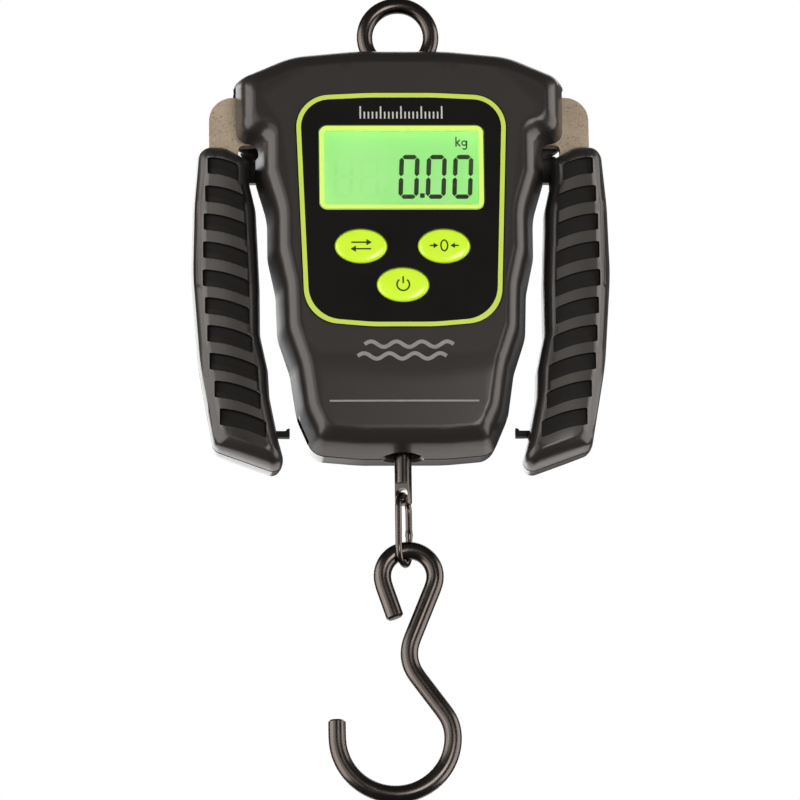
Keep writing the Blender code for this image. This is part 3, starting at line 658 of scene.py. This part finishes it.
def make_wave_marks():
    """Two plain printed waves and a thin rule on the lower part of the housing."""
    parts = []
    waves, steps = 3.5, 72
    for level, low, high in ((29.4, -11.0, 14.0), (26.0, -13.0, 12.0)):
        line = []
        for i in range(steps + 1):
            x = low + (high - low) * i / steps
            line.append((x, level + 0.8 * sin(2 * pi * waves * i / steps)))
        parts.append(ribbon("wave", line, 1.1, print_y))
    rule = [(-21.0 + 42.0 * i / 60, 13.2) for i in range(61)]
    parts.append(ribbon("rule", rule, 0.5, print_y))
    return merged("housing_print", parts)


# ------ grips and arms

def grip_corners():
    """Clockwise corners of the left grip: straight back, waved inner side for the fingers."""
    return [
        (-53.3, 2.2, 3.0, 10), (-57.4, 26.0, 90.0, 8), (-59.2, 52.0, 90.0, 8),
        (-58.6, 72.0, 60.0, 8), (-57.0, 89.4, 3.6, 10), (-49.5, 89.3, 6.0, 8),
        (-42.4, 85.2, 1.5, 8), (-42.6, 79.0, 10.0, 8), (-40.8, 71.0, 14.0, 8),
        (-40.3, 59.0, 12.0, 8), (-39.9, 48.0, 12.0, 8), (-39.9, 34.5, 12.0, 8),
        (-37.8, 24.5, 12.0, 8), (-37.4, 16.5, 12.0, 8), (-35.2, 5.0, 10.0, 6),
        (-32.6, -5.4, 4.2, 16),
    ]


def edge_x(corners, z, outer):
    """Where the straight-sided outline of the grip crosses a height."""
    found = []
    for (x0, z0, *_), (x1, z1, *_) in zip(corners, corners[1:] + corners[:1]):
        if min(z0, z1) <= z < max(z0, z1):
            found.append(x0 + (x1 - x0) * (z - z0) / (z1 - z0))
    return min(found) if outer else max(found)


def slot_span(index):
    """Left end, right end, top at the left end, and how far the right end is lower."""
    corners = grip_corners()
    top = SLOT_TOP_Z - SLOT_PITCH * index
    left = edge_x(corners, top - 2, True) + 3.0
    right = edge_x(corners, top - 6, False) - 3.2
    return left, right, top, (right - left) * tan(SLOT_TILT)


def slot_outline(index, share=1.0):
    """A slanted finger slot with arched long sides; share is how much of its height it takes."""
    left, right, top, drop = slot_span(index)
    height = SLOT_HEIGHT * share
    upper = []
    for i in range(1, SLOT_STEPS):
        t = i / SLOT_STEPS
        upper.append((left + (right - left) * t, top - drop * t + SLOT_BOW * sin(pi * t)))
    lower = [(x, z - height) for x, z in reversed(upper)]
    far, near = SLOT_CORNER, SLOT_CORNER * 0.3
    right_top = top - drop
    left_end = [(left, top - height + far), (left, top - far), (left + near, top - near)]
    right_end = [(right - near, right_top - near), (right, right_top - far),
                 (right, right_top - height + far), (right - near, right_top - height + near)]
    return left_end + upper + right_end + lower + [(left + near, top - height + near)]


def screw_spots():
    """Grip screws sit in two of the slots."""
    spots = []
    for index in SCREWED_SLOTS:
        left, right, top, drop = slot_span(index)
        spots.append(((left + right) / 2 - 1.0, top - (SLOT_HEIGHT + drop) / 2))
    return spots


def inside(outline, x, z):
    """Whether a point lies within a closed outline."""
    within = False
    for (x0, z0), (x1, z1) in zip(outline, outline[1:] + outline[:1]):
        if (z0 > z) != (z1 > z) and x < x0 + (x1 - x0) * (z - z0) / (z1 - z0):
            within = not within
    return within


def mark_slots(grip, side):
    """Gives the faces within the finger slots the second material."""
    outlines = [flipped(slot_outline(index), side) for index in range(GRIP_SLOTS)]
    for polygon in grip.data.polygons:
        x, y, z = polygon.center / MM
        z += EYE_Z
        x += polygon.normal.x * 0.05
        z += polygon.normal.z * 0.05
        if abs(y) > 5.5 and any(inside(outline, x, z) for outline in outlines):
            polygon.material_index = 1


def crown(grip):
    """Curves the broad face of a grip back towards its outer edge."""
    flat_y, fade = 6.0, 3.0
    for vertex in grip.data.vertices:
        x, y, _ = vertex.co / MM
        if abs(x) > CROWN_FROM_X and abs(y) > flat_y:
            share = min(1.0, (abs(y) - flat_y) / fade)
            fall = CROWN * ((abs(x) - CROWN_FROM_X) / CROWN_WIDTH) ** CROWN_POWER * share
            vertex.co.y -= copysign(fall * MM, y)


def make_grip(word, side, half, depth):
    """One half of a grip, hollow, with ten two-level finger slots."""
    profile = GRIP_PROFILE[depth]
    grip = cup(f"{word}_handle_{half}", grip_corners(), profile, GRIP_CAVITY, depth, side)

    def tool(kind, outline, y0, y1):
        return slab(kind, flipped(outline, side), y0, y1)

    spots = screw_spots()
    join(grip, *[tool("boss", circle(x, z, 2.9, 24), depth * 2.4, depth * 6.4) for x, z in spots])
    tools = []
    for index in range(GRIP_SLOTS):
        tools.append(tool("slot", slot_outline(index), depth * 12, depth * 9.15))
        tools.append(tool("groove", slot_outline(index, 0.6), depth * 12, depth * 8.3))
    cut(grip, *tools)
    tools = [tool("mouth", box_outline(-54.8, -40.0, 77.0, 95.0), -ARM_HALF - 2.3, ARM_HALF + 2.3),
             tool("catch_window", box_outline(-39.0, -30.0, 4.6, 9.9), -1.8, 1.8)]
    for x, z in spots:
        tools.append(tool("screw_hole", circle(x, z, 1.55, 20), 0, 7.6 if depth > 0 else -7.2))
        if depth > 0:
            tools.append(tool("screw_seat", circle(x, z, 2.45, 28), 6.8, 11))
    cut(grip, *tools)
    crowned = sorted((side * CROWN_FROM_X, side * (CROWN_FROM_X + CROWN_WIDTH)))
    slice_up(grip, 0, *crowned, 1.6)
    crown(grip)
    soften(grip, 0.25, angle=40)
    mark_slots(grip, side)
    return grip


def make_arm(word, side):
    """Steel arm: boss at the pivot, round outer corner, and a blade down into the grip."""
    px, pz = PIVOT
    corners = [
        (-54.0, 60.0, 60.0, 6), (-53.8, 104.6, 6.8, 20), (-px + 6.2, pz + 9.4, 6.0, 16),
        (-px + 6.2, pz - 4.4, 4.0, 16), (-45.6, pz - 4.6, 1.5, 6), (-45.4, 60.0, 60.0, 6),
        (-42.6, 20.5, 2.0, 8), (-50.6, 18.5, 2.0, 8),
    ]
    arm = slab(f"{word}_arm_plate", flipped(rounded(corners), side), -ARM_HALF, ARM_HALF)
    tools = [slab("pivot_hole", circle(side * px, pz, 1.8), -4, 4)]
    tools += [slab("screw_hole", circle(side * abs(x), z, 1.6), -4, 4) for x, z in screw_spots()]
    cut(arm, *tools)
    soften(arm, 0.55, segments=3)
    return arm


def make_catch(word, side):
    """Hooked tab that enters the flank when the grip is folded right in."""
    corners = [(-38.6, 6.0), (-38.6, 7.7), (-32.9, 7.7), (-32.7, 8.2), (-31.8, 8.5), (-31.8, 5.9)]
    catch = slab(f"{word}_catch_tab", flipped(corners, side), -1.4, 1.4)
    soften(catch, 0.2, segments=3)
    return catch


def make_screw(name, x, z, profile):
    """Cross-head screw along Y with its domed head at the rear."""
    screw = turned(name, profile, x, z)
    head_y = profile[-1][1]
    tools = []
    for wide, tall in ((2.4, 0.6), (0.6, 2.4)):
        slot = box_outline(x - wide / 2, x + wide / 2, z - tall / 2, z + tall / 2)
        tools.append(slab("cross", slot, head_y - 0.55, head_y + 1))
    cut(screw, *tools)
    clean(screw)
    return screw


# ------ hanging gear

def make_eye():
    ring = [(x, 0.0, z) for x, z in arc(0, EYE_Z, 9.4, 0, 360, 128)[:-1]]
    eye = rod("hanging_eye_ring", ring, 2.25, closed=True, sides=40)
    tongue = rounded([(-5.0, 97.2, 4.0, 8), (-3.4, 112.6, 0.4, 2), (3.4, 112.6, 0.4, 2), (5.0, 97.2, 4.0, 8)])
    join(eye, slab("eye_tongue", tongue, -ARM_HALF, ARM_HALF))
    cut(eye, slab("eye_tongue_hole", circle(0, 101.5, 1.8), -6, 6))
    soften(eye, 0.3, angle=30)
    return eye


def make_shaft():
    end, top = -13.4, 61.6
    r = SHAFT_R
    profile = [(r - 0.6, end), (r - 0.18, end + 0.15), (r, end + 0.5), (r, -7.3), (r, -0.9),
               (r, top - 0.4), (r - 0.4, top)]
    shaft = upright("swivel_shaft", profile)
    turn = Matrix.Rotation(-SHAFT_TURN, 4, "Z")
    tools = [slab("shaft_eye_hole", circle(0, -10.6, 1.8), -4, 4)]
    for side in (-1, 1):
        beyond = sorted((side * 1.5, side * 4.0))
        tools.append(slab("shaft_flat", box_outline(-4, 4, end - 1, -7.4), *beyond))
    for tool in tools:
        tool.data.transform(turn)
    cut(shaft, *tools)
    soften(shaft, 0.22, segments=3)
    return shaft


def make_link():
    """Wire link with a welded joint half way down one side."""
    half, top, bottom = LINK_HALF_WIDTH, -10.8, -30.6
    outline = arc(0, top - half, half, 180, 0, 36)
    side = [(half, top - half - (top - bottom - 2 * half) * i / 24) for i in range(1, 24)]
    outline += side + arc(0, bottom + half, half, 0, -180, 36) + [(-x, z) for x, z in reversed(side)]
    path = [(w * sin(SHAFT_TURN), w * cos(SHAFT_TURN), z) for w, z in outline]
    weld_at = (37 + 12) / len(path)

    def thickness(share):
        away = (share - weld_at) * len(path)
        return 0.95 + 0.16 * exp(-(away / 1.7) ** 2)

    return rod("wire_link", path, thickness, closed=True)


def hook_path():
    """Centre line of the S-hook: short end, upper loop, neck and open bight."""
    lx, lz, loop_r = HOOK_LOOP
    bx, bz, bight_r = HOOK_BIGHT
    entry, leave, join_angle = 198.6, -22.2, 8.0
    loop = arc(lx, lz, loop_r, entry, leave, 64)
    bight = arc(bx, bz, bight_r, join_angle, -180, 90)
    slope = radians(entry - 180)
    reach = (sin(slope), -cos(slope))
    tip = [(loop[0][0] + 10.2 * s * reach[0], loop[0][1] + 10.2 * s * reach[1]) for s in (1.0, 0.66, 0.33)]
    neck = bend(loop[-1], HOOK_NECK, HOOK_ELBOW, 10.5, 24)
    elbow = bend(neck[-1], HOOK_ELBOW, bight[0], 10.0, 8)
    straight_up = [(bx - bight_r, bz + z) for z in (1.7, 3.4, 5.0)]
    return [*tip, *loop, *neck, *elbow, *bight, *straight_up]


def make_hook():
    path = smooth_path([(x, 0.0, z) for x, z in hook_path()], 260)
    return rod("hook_bent_rod", path, HOOK_R, sides=40, end_round=0.55)


def smooth_path(points, count):
    """Evenly spaced points along a path, with its curvature eased over a few millimetres."""
    points = [Vector(p) for p in points]
    lengths = [0.0]
    for a, b in zip(points, points[1:]):
        lengths.append(lengths[-1] + (b - a).length)
    even = []
    index = 0
    for i in range(count + 1):
        at = lengths[-1] * i / count
        while index < len(lengths) - 2 and lengths[index + 1] < at:
            index += 1
        share = (at - lengths[index]) / (lengths[index + 1] - lengths[index])
        even.append(points[index].lerp(points[index + 1], share))
    for _ in range(10):
        middle = [(a + b * 2 + c) / 4 for a, b, c in zip(even, even[1:], even[2:])]
        even = [even[0], *middle, even[-1]]
    return even


# ------ cells

def make_battery(number, x):
    """Cylindrical cell with a shrunk jacket, a shoulder and a raised contact."""
    y, bottom, top, r = 6.6, 7.2, 51.2, 5.2
    profile = [(r - 0.75, bottom), (r - 0.45, bottom + 0.06), (r - 0.1, bottom + 0.3), (r, bottom + 0.75),
               (r, top - 1.9), (r - 0.15, top - 1.45), (r - 0.6, top - 1.2), (r - 1.2, top - 1.12),
               (1.95, top - 1.05), (1.9, top - 0.25), (1.65, top - 0.1)]
    return upright(f"cell_{number}", profile, x, y, steps=64)


# ------ materials

def add_node(tree, kind, **values):
    made = tree.nodes.new(kind)
    for key, value in values.items():
        setattr(made, key, value)
    return made


def set_inputs(node, **values):
    for key, value in values.items():
        node.inputs[key.replace("_", " ")].default_value = value


def noise(tree, scale, detail=4.0, stretch=None):
    """Noise in the object's own axes; scale is in features per metre."""
    coordinates = add_node(tree, "ShaderNodeTexCoord")
    vector = coordinates.outputs["Object"]
    if stretch:
        mapping = add_node(tree, "ShaderNodeMapping")
        set_inputs(mapping, Scale=stretch)
        tree.links.new(vector, mapping.inputs["Vector"])
        vector = mapping.outputs["Vector"]
    texture = add_node(tree, "ShaderNodeTexNoise")
    set_inputs(texture, Scale=scale, Detail=detail)
    tree.links.new(vector, texture.inputs["Vector"])
    return texture.outputs["Fac"]


def ramp(tree, source, low, high, start=0.3, end=0.7):
    """Maps a noise to a range of values."""
    mapped = add_node(tree, "ShaderNodeMapRange")
    set_inputs(mapped, From_Min=start, From_Max=end, To_Min=low, To_Max=high)
    tree.links.new(source, mapped.inputs["Value"])
    return mapped.outputs["Result"]


def blend_colours(tree, factor, first, second):
    mix = add_node(tree, "ShaderNodeMix", data_type="RGBA")
    tree.links.new(factor, mix.inputs["Factor"])
    for colour, socket in ((first, mix.inputs[6]), (second, mix.inputs[7])):
        if isinstance(colour, tuple):
            socket.default_value = (*colour, 1.0)
        else:
            tree.links.new(colour, socket)
    return mix.outputs[2]


def finish(name, colour, roughness, metallic=0.0, patch=0.08, patch_scale=90.0, grain_scale=2600.0,
           bump=0.05, rough_spread=0.05, edge=None, stretch=None, **sockets):
    """Uneven colour and roughness, fine grain, and a colour at sharp edges given as a colour and a strength:
    wear on most finishes, a painted highlight on the grip.
    """
    made = bpy.data.materials.new(name)
    made.use_nodes = True
    tree = made.node_tree
    shader = tree.nodes["Principled BSDF"]
    set_inputs(shader, Metallic=metallic, **sockets)
    darker = tuple(c * (1 - patch) for c in colour)
    lighter = tuple(min(c * (1 + patch), 1.0) for c in colour)
    shade = blend_colours(tree, ramp(tree, noise(tree, patch_scale, stretch=stretch), 0, 1), darker, lighter)
    if edge:
        # Sharp edges take the edge colour: wear on most finishes, a painted highlight on the grip.
        geometry = add_node(tree, "ShaderNodeNewGeometry")
        wear_and_highlight = ramp(tree, geometry.outputs["Pointiness"], 0.0, edge[1], 0.52, 0.62)
        shade = blend_colours(tree, wear_and_highlight, shade, edge[0])
    tree.links.new(shade, shader.inputs["Base Color"])
    rough = ramp(tree, noise(tree, patch_scale * 3.1, stretch=stretch), roughness - rough_spread,
                 roughness + rough_spread)
    tree.links.new(rough, shader.inputs["Roughness"])
    relief = add_node(tree, "ShaderNodeBump")
    set_inputs(relief, Strength=bump, Distance=0.0002)
    tree.links.new(noise(tree, grain_scale, 6.0, stretch), relief.inputs["Height"])
    tree.links.new(relief.outputs["Normal"], shader.inputs["Normal"])
    return made


def glowing(made, colour, strength):
    """Adds an even glow: the display's own light, an evenly bright floor, and painted brightness on the lime
    print, frame and keys, which are no lamps.
    """
    shader = made.node_tree.nodes["Principled BSDF"]
    set_inputs(shader, Emission_Color=(*colour, 1.0), Emission_Strength=strength)
    return made


def speckled_steel():
    """Champagne steel with fine pale and dark specks."""
    made = finish("arm_champagne", (0.62, 0.51, 0.375), 0.42, 0.35, 0.10, 160.0, 1900.0, 0.22, 0.08,
                  edge=((0.62, 0.53, 0.42), 0.5))
    tree = made.node_tree
    shader = tree.nodes["Principled BSDF"]
    base = shader.inputs["Base Color"].links[0].from_socket
    fine = noise(tree, 1500.0, 5.0)
    pale = blend_colours(tree, ramp(tree, fine, 0.0, 0.8, 0.53, 0.68), base, (0.80, 0.70, 0.54))
    coarse = noise(tree, 1150.0, 5.0)
    dark = blend_colours(tree, ramp(tree, coarse, 0.0, 0.8, 0.56, 0.70), pale, (0.34, 0.27, 0.19))
    tree.links.new(dark, shader.inputs["Base Color"])
    return made


def dark_satin(name, wear_and_highlight):
    """Near-black moulded plastic with a soft sheen and a lighter colour at sharp edges: wear on the housing,
    a painted highlight along the grip's finger slots.
    """
    return finish(name, (0.027, 0.0244, 0.0229), 0.30, 0.0, 0.03, 70.0, 3200.0, 0.05, 0.012,
                  edge=(wear_and_highlight, 0.3), Coat_Weight=0.25, Coat_Roughness=0.22)


def make_materials():
    """Positional values of a finish: roughness, metallic, patch, patch scale, grain scale, bump, spread."""
    return {
        "housing": dark_satin("housing_satin", (0.06, 0.055, 0.05)),
        # The grip's lighter edge colour is a painted highlight along the finger slot edges.
        "grip": dark_satin("grip_satin", (0.14, 0.13, 0.12)),
        "slot": finish("slot_matt", (0.0062, 0.0057, 0.0052), 0.5, 0, 0.15, 160, 1600, 0.14,
                       Specular_IOR_Level=0.3),
        "panel": finish("panel_gloss", (0.0095, 0.0093, 0.0085), 0.12, 0, 0.15, 60, 900, 0.01, 0.03,
                        Coat_Weight=0.3, Coat_Roughness=0.05),
        # Painted glow: the lime border print is given emission, though it is no lamp.
        "lime": glowing(finish("lime_print", (0.40, 0.52, 0.07), 0.36, 0, 0.06, 120, 2500, 0.03),
                        (0.54, 0.68, 0.105), 0.48),
        # Painted glow: the lime display frame is given emission, though it is no lamp.
        "lime_frame": glowing(finish("lime_frame", (0.50, 0.72, 0.12), 0.30, 0, 0.05, 120, 2500, 0.02),
                              (0.70, 0.93, 0.19), 0.52),
        # Painted glow: the lime keys are given emission, though they are no lamps.
        "key": glowing(finish("key_lime", (0.50, 0.80, 0.035), 0.2, 0, 0.06, 140, 3000, 0.02, 0.04,
                              Coat_Weight=0.8, Coat_Roughness=0.06, Subsurface_Weight=0.1,
                              Subsurface_Scale=0.002),
                       (0.62, 0.85, 0.035), 0.49),
        "lens": finish("lens_clear", (0.95, 0.98, 0.95), 0.03, 0, 0.02, 60, 900, 0.004, 0.01,
                       Transmission_Weight=1, IOR=1.35),
        "lcd": make_lcd(),
        "ink": finish("mark_ink", (0.030, 0.045, 0.012), 0.4, 0, 0.1, 300, 3000, 0.03),
        "segment": finish("lcd_segment", (0.035, 0.065, 0.022), 0.35, 0, 0.08, 300, 3000, 0.01),
        "unlit": glowing(finish("lcd_unlit", (0.30, 0.66, 0.22), 0.35, 0, 0.05, 300, 3000, 0.01),
                         (0.36, 0.72, 0.26), 0.55),
        "white_print": finish("white_print", (0.78, 0.78, 0.76), 0.45, 0, 0.05, 400, 3000, 0.03),
        "grey_print": finish("grey_print", (0.36, 0.355, 0.35), 0.42, 0.2, 0.08, 400, 3000, 0.03),
        "white_plastic": finish("white_plastic", (0.80, 0.80, 0.76), 0.5, 0, 0.04, 120, 2400, 0.06),
        "black_plastic": finish("black_plastic", (0.012, 0.012, 0.012), 0.45, 0, 0.15, 150, 2200, 0.10),
        "black_rubber": finish("black_rubber", (0.016, 0.016, 0.016), 0.68, 0, 0.15, 200, 1800, 0.18),
        "board": finish("board_solder_mask", (0.018, 0.15, 0.055), 0.35, 0, 0.25, 420, 1500, 0.10,
                        Coat_Weight=0.4, Coat_Roughness=0.15),
        "chip": finish("chip_epoxy", (0.018, 0.018, 0.019), 0.55, 0, 0.12, 500, 4000, 0.14),
        "arm": speckled_steel(),
        "steel": finish("frame_steel", (0.50, 0.50, 0.51), 0.34, 1, 0.10, 70, 1400, 0.10, 0.08,
                        stretch=(0.25, 1, 1)),
        "gunmetal": finish("hook_gunmetal", (0.115, 0.102, 0.094), 0.24, 1, 0.12, 60, 700, 0.03, 0.045,
                           edge=((0.19, 0.17, 0.155), 0.3)),
        "cell": finish("cell_aluminium", (0.72, 0.72, 0.74), 0.32, 1, 0.06, 90, 1700, 0.10, 0.07,
                       stretch=(1, 1, 0.25)),
        "spring": finish("spring_steel", (0.66, 0.63, 0.56), 0.26, 1, 0.08, 260, 2200, 0.05),
        "jacket": finish("battery_jacket", (0.045, 0.16, 0.42), 0.34, 0.3, 0.10, 120, 1800, 0.05,
                         Coat_Weight=0.5, Coat_Roughness=0.12),
        "screw": finish("screw_zinc", (0.30, 0.30, 0.31), 0.32, 1, 0.12, 420, 2600, 0.08,
                        edge=((0.6, 0.6, 0.6), 0.5)),
        "floor": glowing(finish("floor_pale", (0.86, 0.86, 0.86), 0.75, 0, 0.01, 2, 60, 0.02),
                         (0.92, 0.92, 0.91), 0.8),
    }


def make_lcd():
    """Lit display glass, a little brighter at its middle and cooler near its left end."""
    made = finish("lcd_green", (0.30, 0.66, 0.22), 0.32, 0.0, 0.03, 25.0, 2200.0, 0.01)
    tree = made.node_tree
    shader = tree.nodes["Principled BSDF"]
    glow = blend_colours(tree, ramp(tree, noise(tree, 34.0, 1.0), 0.0, 1.0, 0.35, 0.65), (0.30, 0.80, 0.24),
                         (0.44, 0.86, 0.34))
    tree.links.new(glow, shader.inputs["Emission Color"])
    set_inputs(shader, Emission_Strength=0.55)
    return made


# ------ stage

CAMERA_AZIMUTH = radians(-2.682)
CAMERA_ELEVATION = radians(-13.64)
CAMERA_ROLL = radians(-0.726)
CAMERA_DISTANCE = 3.0
CAMERA_LENS = 479.0
CAMERA_TARGET = Vector((-0.00058, 0.0, -0.10589))
LIGHT_AIM = Vector((0.0, 0.0, -0.08))
FLOOR_Z = -1.4


def direction(azimuth, elevation):
    """Away from the object; azimuth 0 is in front and a quarter turn is to the right."""
    level = cos(elevation)
    return Vector((sin(azimuth) * level, -cos(azimuth) * level, sin(elevation)))


def make_camera():
    back = direction(CAMERA_AZIMUTH, CAMERA_ELEVATION)
    right = Vector((0, 0, 1)).cross(back).normalized()
    up = back.cross(right)
    c, s = cos(CAMERA_ROLL), sin(CAMERA_ROLL)
    turned_right = c * right + s * up
    turned_up = -s * right + c * up
    camera = add_object("camera", bpy.data.cameras.new("camera"))
    camera.data.lens = CAMERA_LENS
    camera.data.sensor_width = 36.0
    camera.data.clip_start = 0.1
    camera.data.clip_end = 100.0
    camera.matrix_world = Matrix.Translation(CAMERA_TARGET + back * CAMERA_DISTANCE) @ Matrix(
        (turned_right, turned_up, back)).transposed().to_4x4()
    bpy.context.scene.camera = camera


def softbox(name, azimuth, elevation, distance, size, power, colour=(1.0, 0.945, 0.905)):
    """A rectangular studio light aimed at the object, placed in degrees and metres."""
    away = direction(radians(azimuth), radians(elevation))
    light = bpy.data.lights.new(name, "AREA")
    light.shape = "RECTANGLE"
    light.size, light.size_y = size
    light.energy = power
    light.color = colour
    made = add_object(name, light)
    made.location = LIGHT_AIM + away * distance
    made.rotation_mode = "QUATERNION"
    made.rotation_quaternion = away.to_track_quat("Z", "Y")
    made.visible_camera = False


def make_lights():
    white = (1.0, 1.0, 1.0)
    softbox("left_box", -80, -4, 1.2, (1.1, 1.7), 15.0)
    softbox("right_box", 84, -4, 1.2, (1.1, 1.7), 15.0)
    softbox("front_left_fill", -42, -4, 1.7, (1.3, 1.5), 7.0)
    softbox("front_right_fill", 17, -7, 1.7, (0.6, 0.8), 8.0)
    softbox("low_rear_box", 180, -30, 1.4, (1.8, 0.8), 4.8)
    softbox("rear_box", 165, 35, 1.9, (1.3, 0.9), 5.5, white)
    softbox("rear_fill", 196, 4, 1.9, (1.0, 1.3), 9.0, white)


def make_world():
    """White backdrop for the camera, and a dim studio for everything else."""
    world = bpy.data.worlds.new("studio")
    bpy.context.scene.world = world
    world.use_nodes = True
    tree = world.node_tree
    plain = tree.nodes["Background"]
    set_inputs(plain, Color=(0.80, 0.79, 0.78, 1.0), Strength=0.09)
    white = add_node(tree, "ShaderNodeBackground")
    set_inputs(white, Color=(1.0, 1.0, 1.0, 1.0), Strength=1.0)
    path = add_node(tree, "ShaderNodeLightPath")
    mix = add_node(tree, "ShaderNodeMixShader")
    tree.links.new(path.outputs["Is Camera Ray"], mix.inputs["Fac"])
    tree.links.new(plain.outputs["Background"], mix.inputs[1])
    tree.links.new(white.outputs["Background"], mix.inputs[2])
    tree.links.new(mix.outputs["Shader"], tree.nodes["World Output"].inputs["Surface"])
    bpy.context.scene.view_settings.view_transform = "Standard"


def make_floor(look):
    """A pale ground far below, kept out of diffuse and mirrored light."""
    mesh = bpy.data.meshes.new("floor")
    bm = bmesh.new()
    bmesh.ops.create_grid(bm, x_segments=8, y_segments=8, size=9.0)
    bm.to_mesh(mesh)
    bm.free()
    floor = add_object("floor", mesh)
    floor.location.z = FLOOR_Z
    mesh.materials.append(look)
    floor.visible_diffuse = False
    floor.visible_glossy = False


# ------ putting it together

def fit(piece, look, body, nodes=()):
    """Gives a piece its material or two, its body and the CAD nodes it stands for."""
    looks = look if isinstance(look, list) else [look]
    for made in looks:
        piece.data.materials.append(made)
    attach(piece, body)
    if nodes:
        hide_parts(*nodes)
    return piece


def make_housing(looks):
    fit(make_front_shell(), looks["housing"], "housing", ["front_shell"])
    fit(make_rear_shell(), looks["housing"], "housing", ["rear_shell"])
    fit(make_battery_cover(), looks["housing"], "cover", ["battery_cover"])
    for number, (x, z) in enumerate(mirrored(SCREW_SPOTS), 1):
        seat = REAR_Y - 2.1
        profile = [(1.2, -8.0), (1.2, seat), (2.0, seat), (2.2, seat + 0.2), (2.2, seat + 0.7),
                   (1.8, seat + 1.1), (1.0, seat + 1.3)]
        screw = make_screw(f"case_screw_{number}", x, z, profile)
        fit(screw, looks["screw"], "housing", [f"housing_screw_{number}"])


def make_front(looks):
    panel, border, bezel, lens = make_face()
    fit(panel, looks["panel"], "housing", ["face_panel"])
    fit(border, looks["lime"], "housing")
    fit(bezel, looks["lime_frame"], "housing", ["display_bezel"])
    fit(lens, looks["lens"], "housing", ["display_lens"])
    digits, unlit = make_reading()
    fit(digits, looks["segment"], "housing")
    fit(unlit, looks["unlit"], "housing")
    for name in KEYS:
        cap = make_key(name)
        fit(cap, looks["key"], f"key_{name}", [f"button_{name}"])
        fit(key_mark(name), looks["ink"], f"key_{name}")
    fit(make_scale_marks(), looks["white_print"], "housing")
    fit(make_wave_marks(), looks["grey_print"], "housing")


def make_handles(looks):
    for word, side in (("left", -1), ("right", 1)):
        body = f"{word}_handle"
        fit(make_arm(word, side), looks["arm"], body, [f"{word}_arm"])
        for half, depth in (("front", -1), ("rear", 1)):
            grip = make_grip(word, side, half, depth)
            fit(grip, [looks["grip"], looks["slot"]], body, [f"{word}_grip_{half}"])
        fit(make_catch(word, side), looks["slot"], body, [f"{word}_catch"])
        for number, (x, z) in enumerate(screw_spots(), 1):
            seat = GRIP_HALF - 2.2 - 1.2
            profile = [(1.2, -6.4), (1.2, seat), (1.95, seat), (2.1, seat + 0.2), (2.1, seat + 0.6),
                       (1.7, seat + 0.95), (1.0, seat + 1.1)]
            screw = make_screw(f"{word}_handle_screw_{number}", side * abs(x), z, profile)
            fit(screw, looks["screw"], body, [f"{word}_grip_screw_{number}"])


def make_hanging_gear(looks):
    for make, body, node in ((make_eye, "housing", "hanging_eye"), (make_shaft, "shaft", "hook_shaft"),
                             (make_link, "link", "chain_link"), (make_hook, "hook", "s_hook")):
        fit(make(), looks["gunmetal"], body, [node])


def make_cells(looks):
    for number, x in ((1, -12.5), (2, 12.5)):
        cell = make_battery(number, x)
        fit(cell, looks["jacket"], "housing", [f"battery_{number}"])


CARRIED = {
    "lcd": ("lcd_panel",),
    "white_plastic": ("backlight_panel",),
    "black_rubber": ("lcd_connector", "gauge_cable"),
    "board": ("circuit_board", "strain_gauge"),
    "chip": ("controller_chip",),
    "black_plastic": ("switch_unit", "switch_tare", "switch_power", "battery_tray"),
    "spring": ("battery_spring_1", "battery_spring_2", "battery_contact_1", "battery_contact_2",
               "thrust_washer"),
    "steel": ("frame_plate_front", "frame_plate_rear", "left_pivot_pin", "right_pivot_pin", "eye_pin",
              "load_cell_pin", "swivel_yoke", "yoke_pin", "shaft_nut"),
    "cell": ("load_cell",),
}


def dress_carried(looks):
    """Gives the CAD nodes that stay in view their finished materials."""
    for look, names in CARRIED.items():
        for name in names:
            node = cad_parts[name]
            node.data.materials.clear()
            node.data.materials.append(looks[look])


def main():
    make_camera()
    make_world()
    make_lights()
    looks = make_materials()
    make_floor(looks["floor"])
    make_housing(looks)
    make_front(looks)
    make_handles(looks)
    make_hanging_gear(looks)
    make_cells(looks)
    dress_carried(looks)


main()
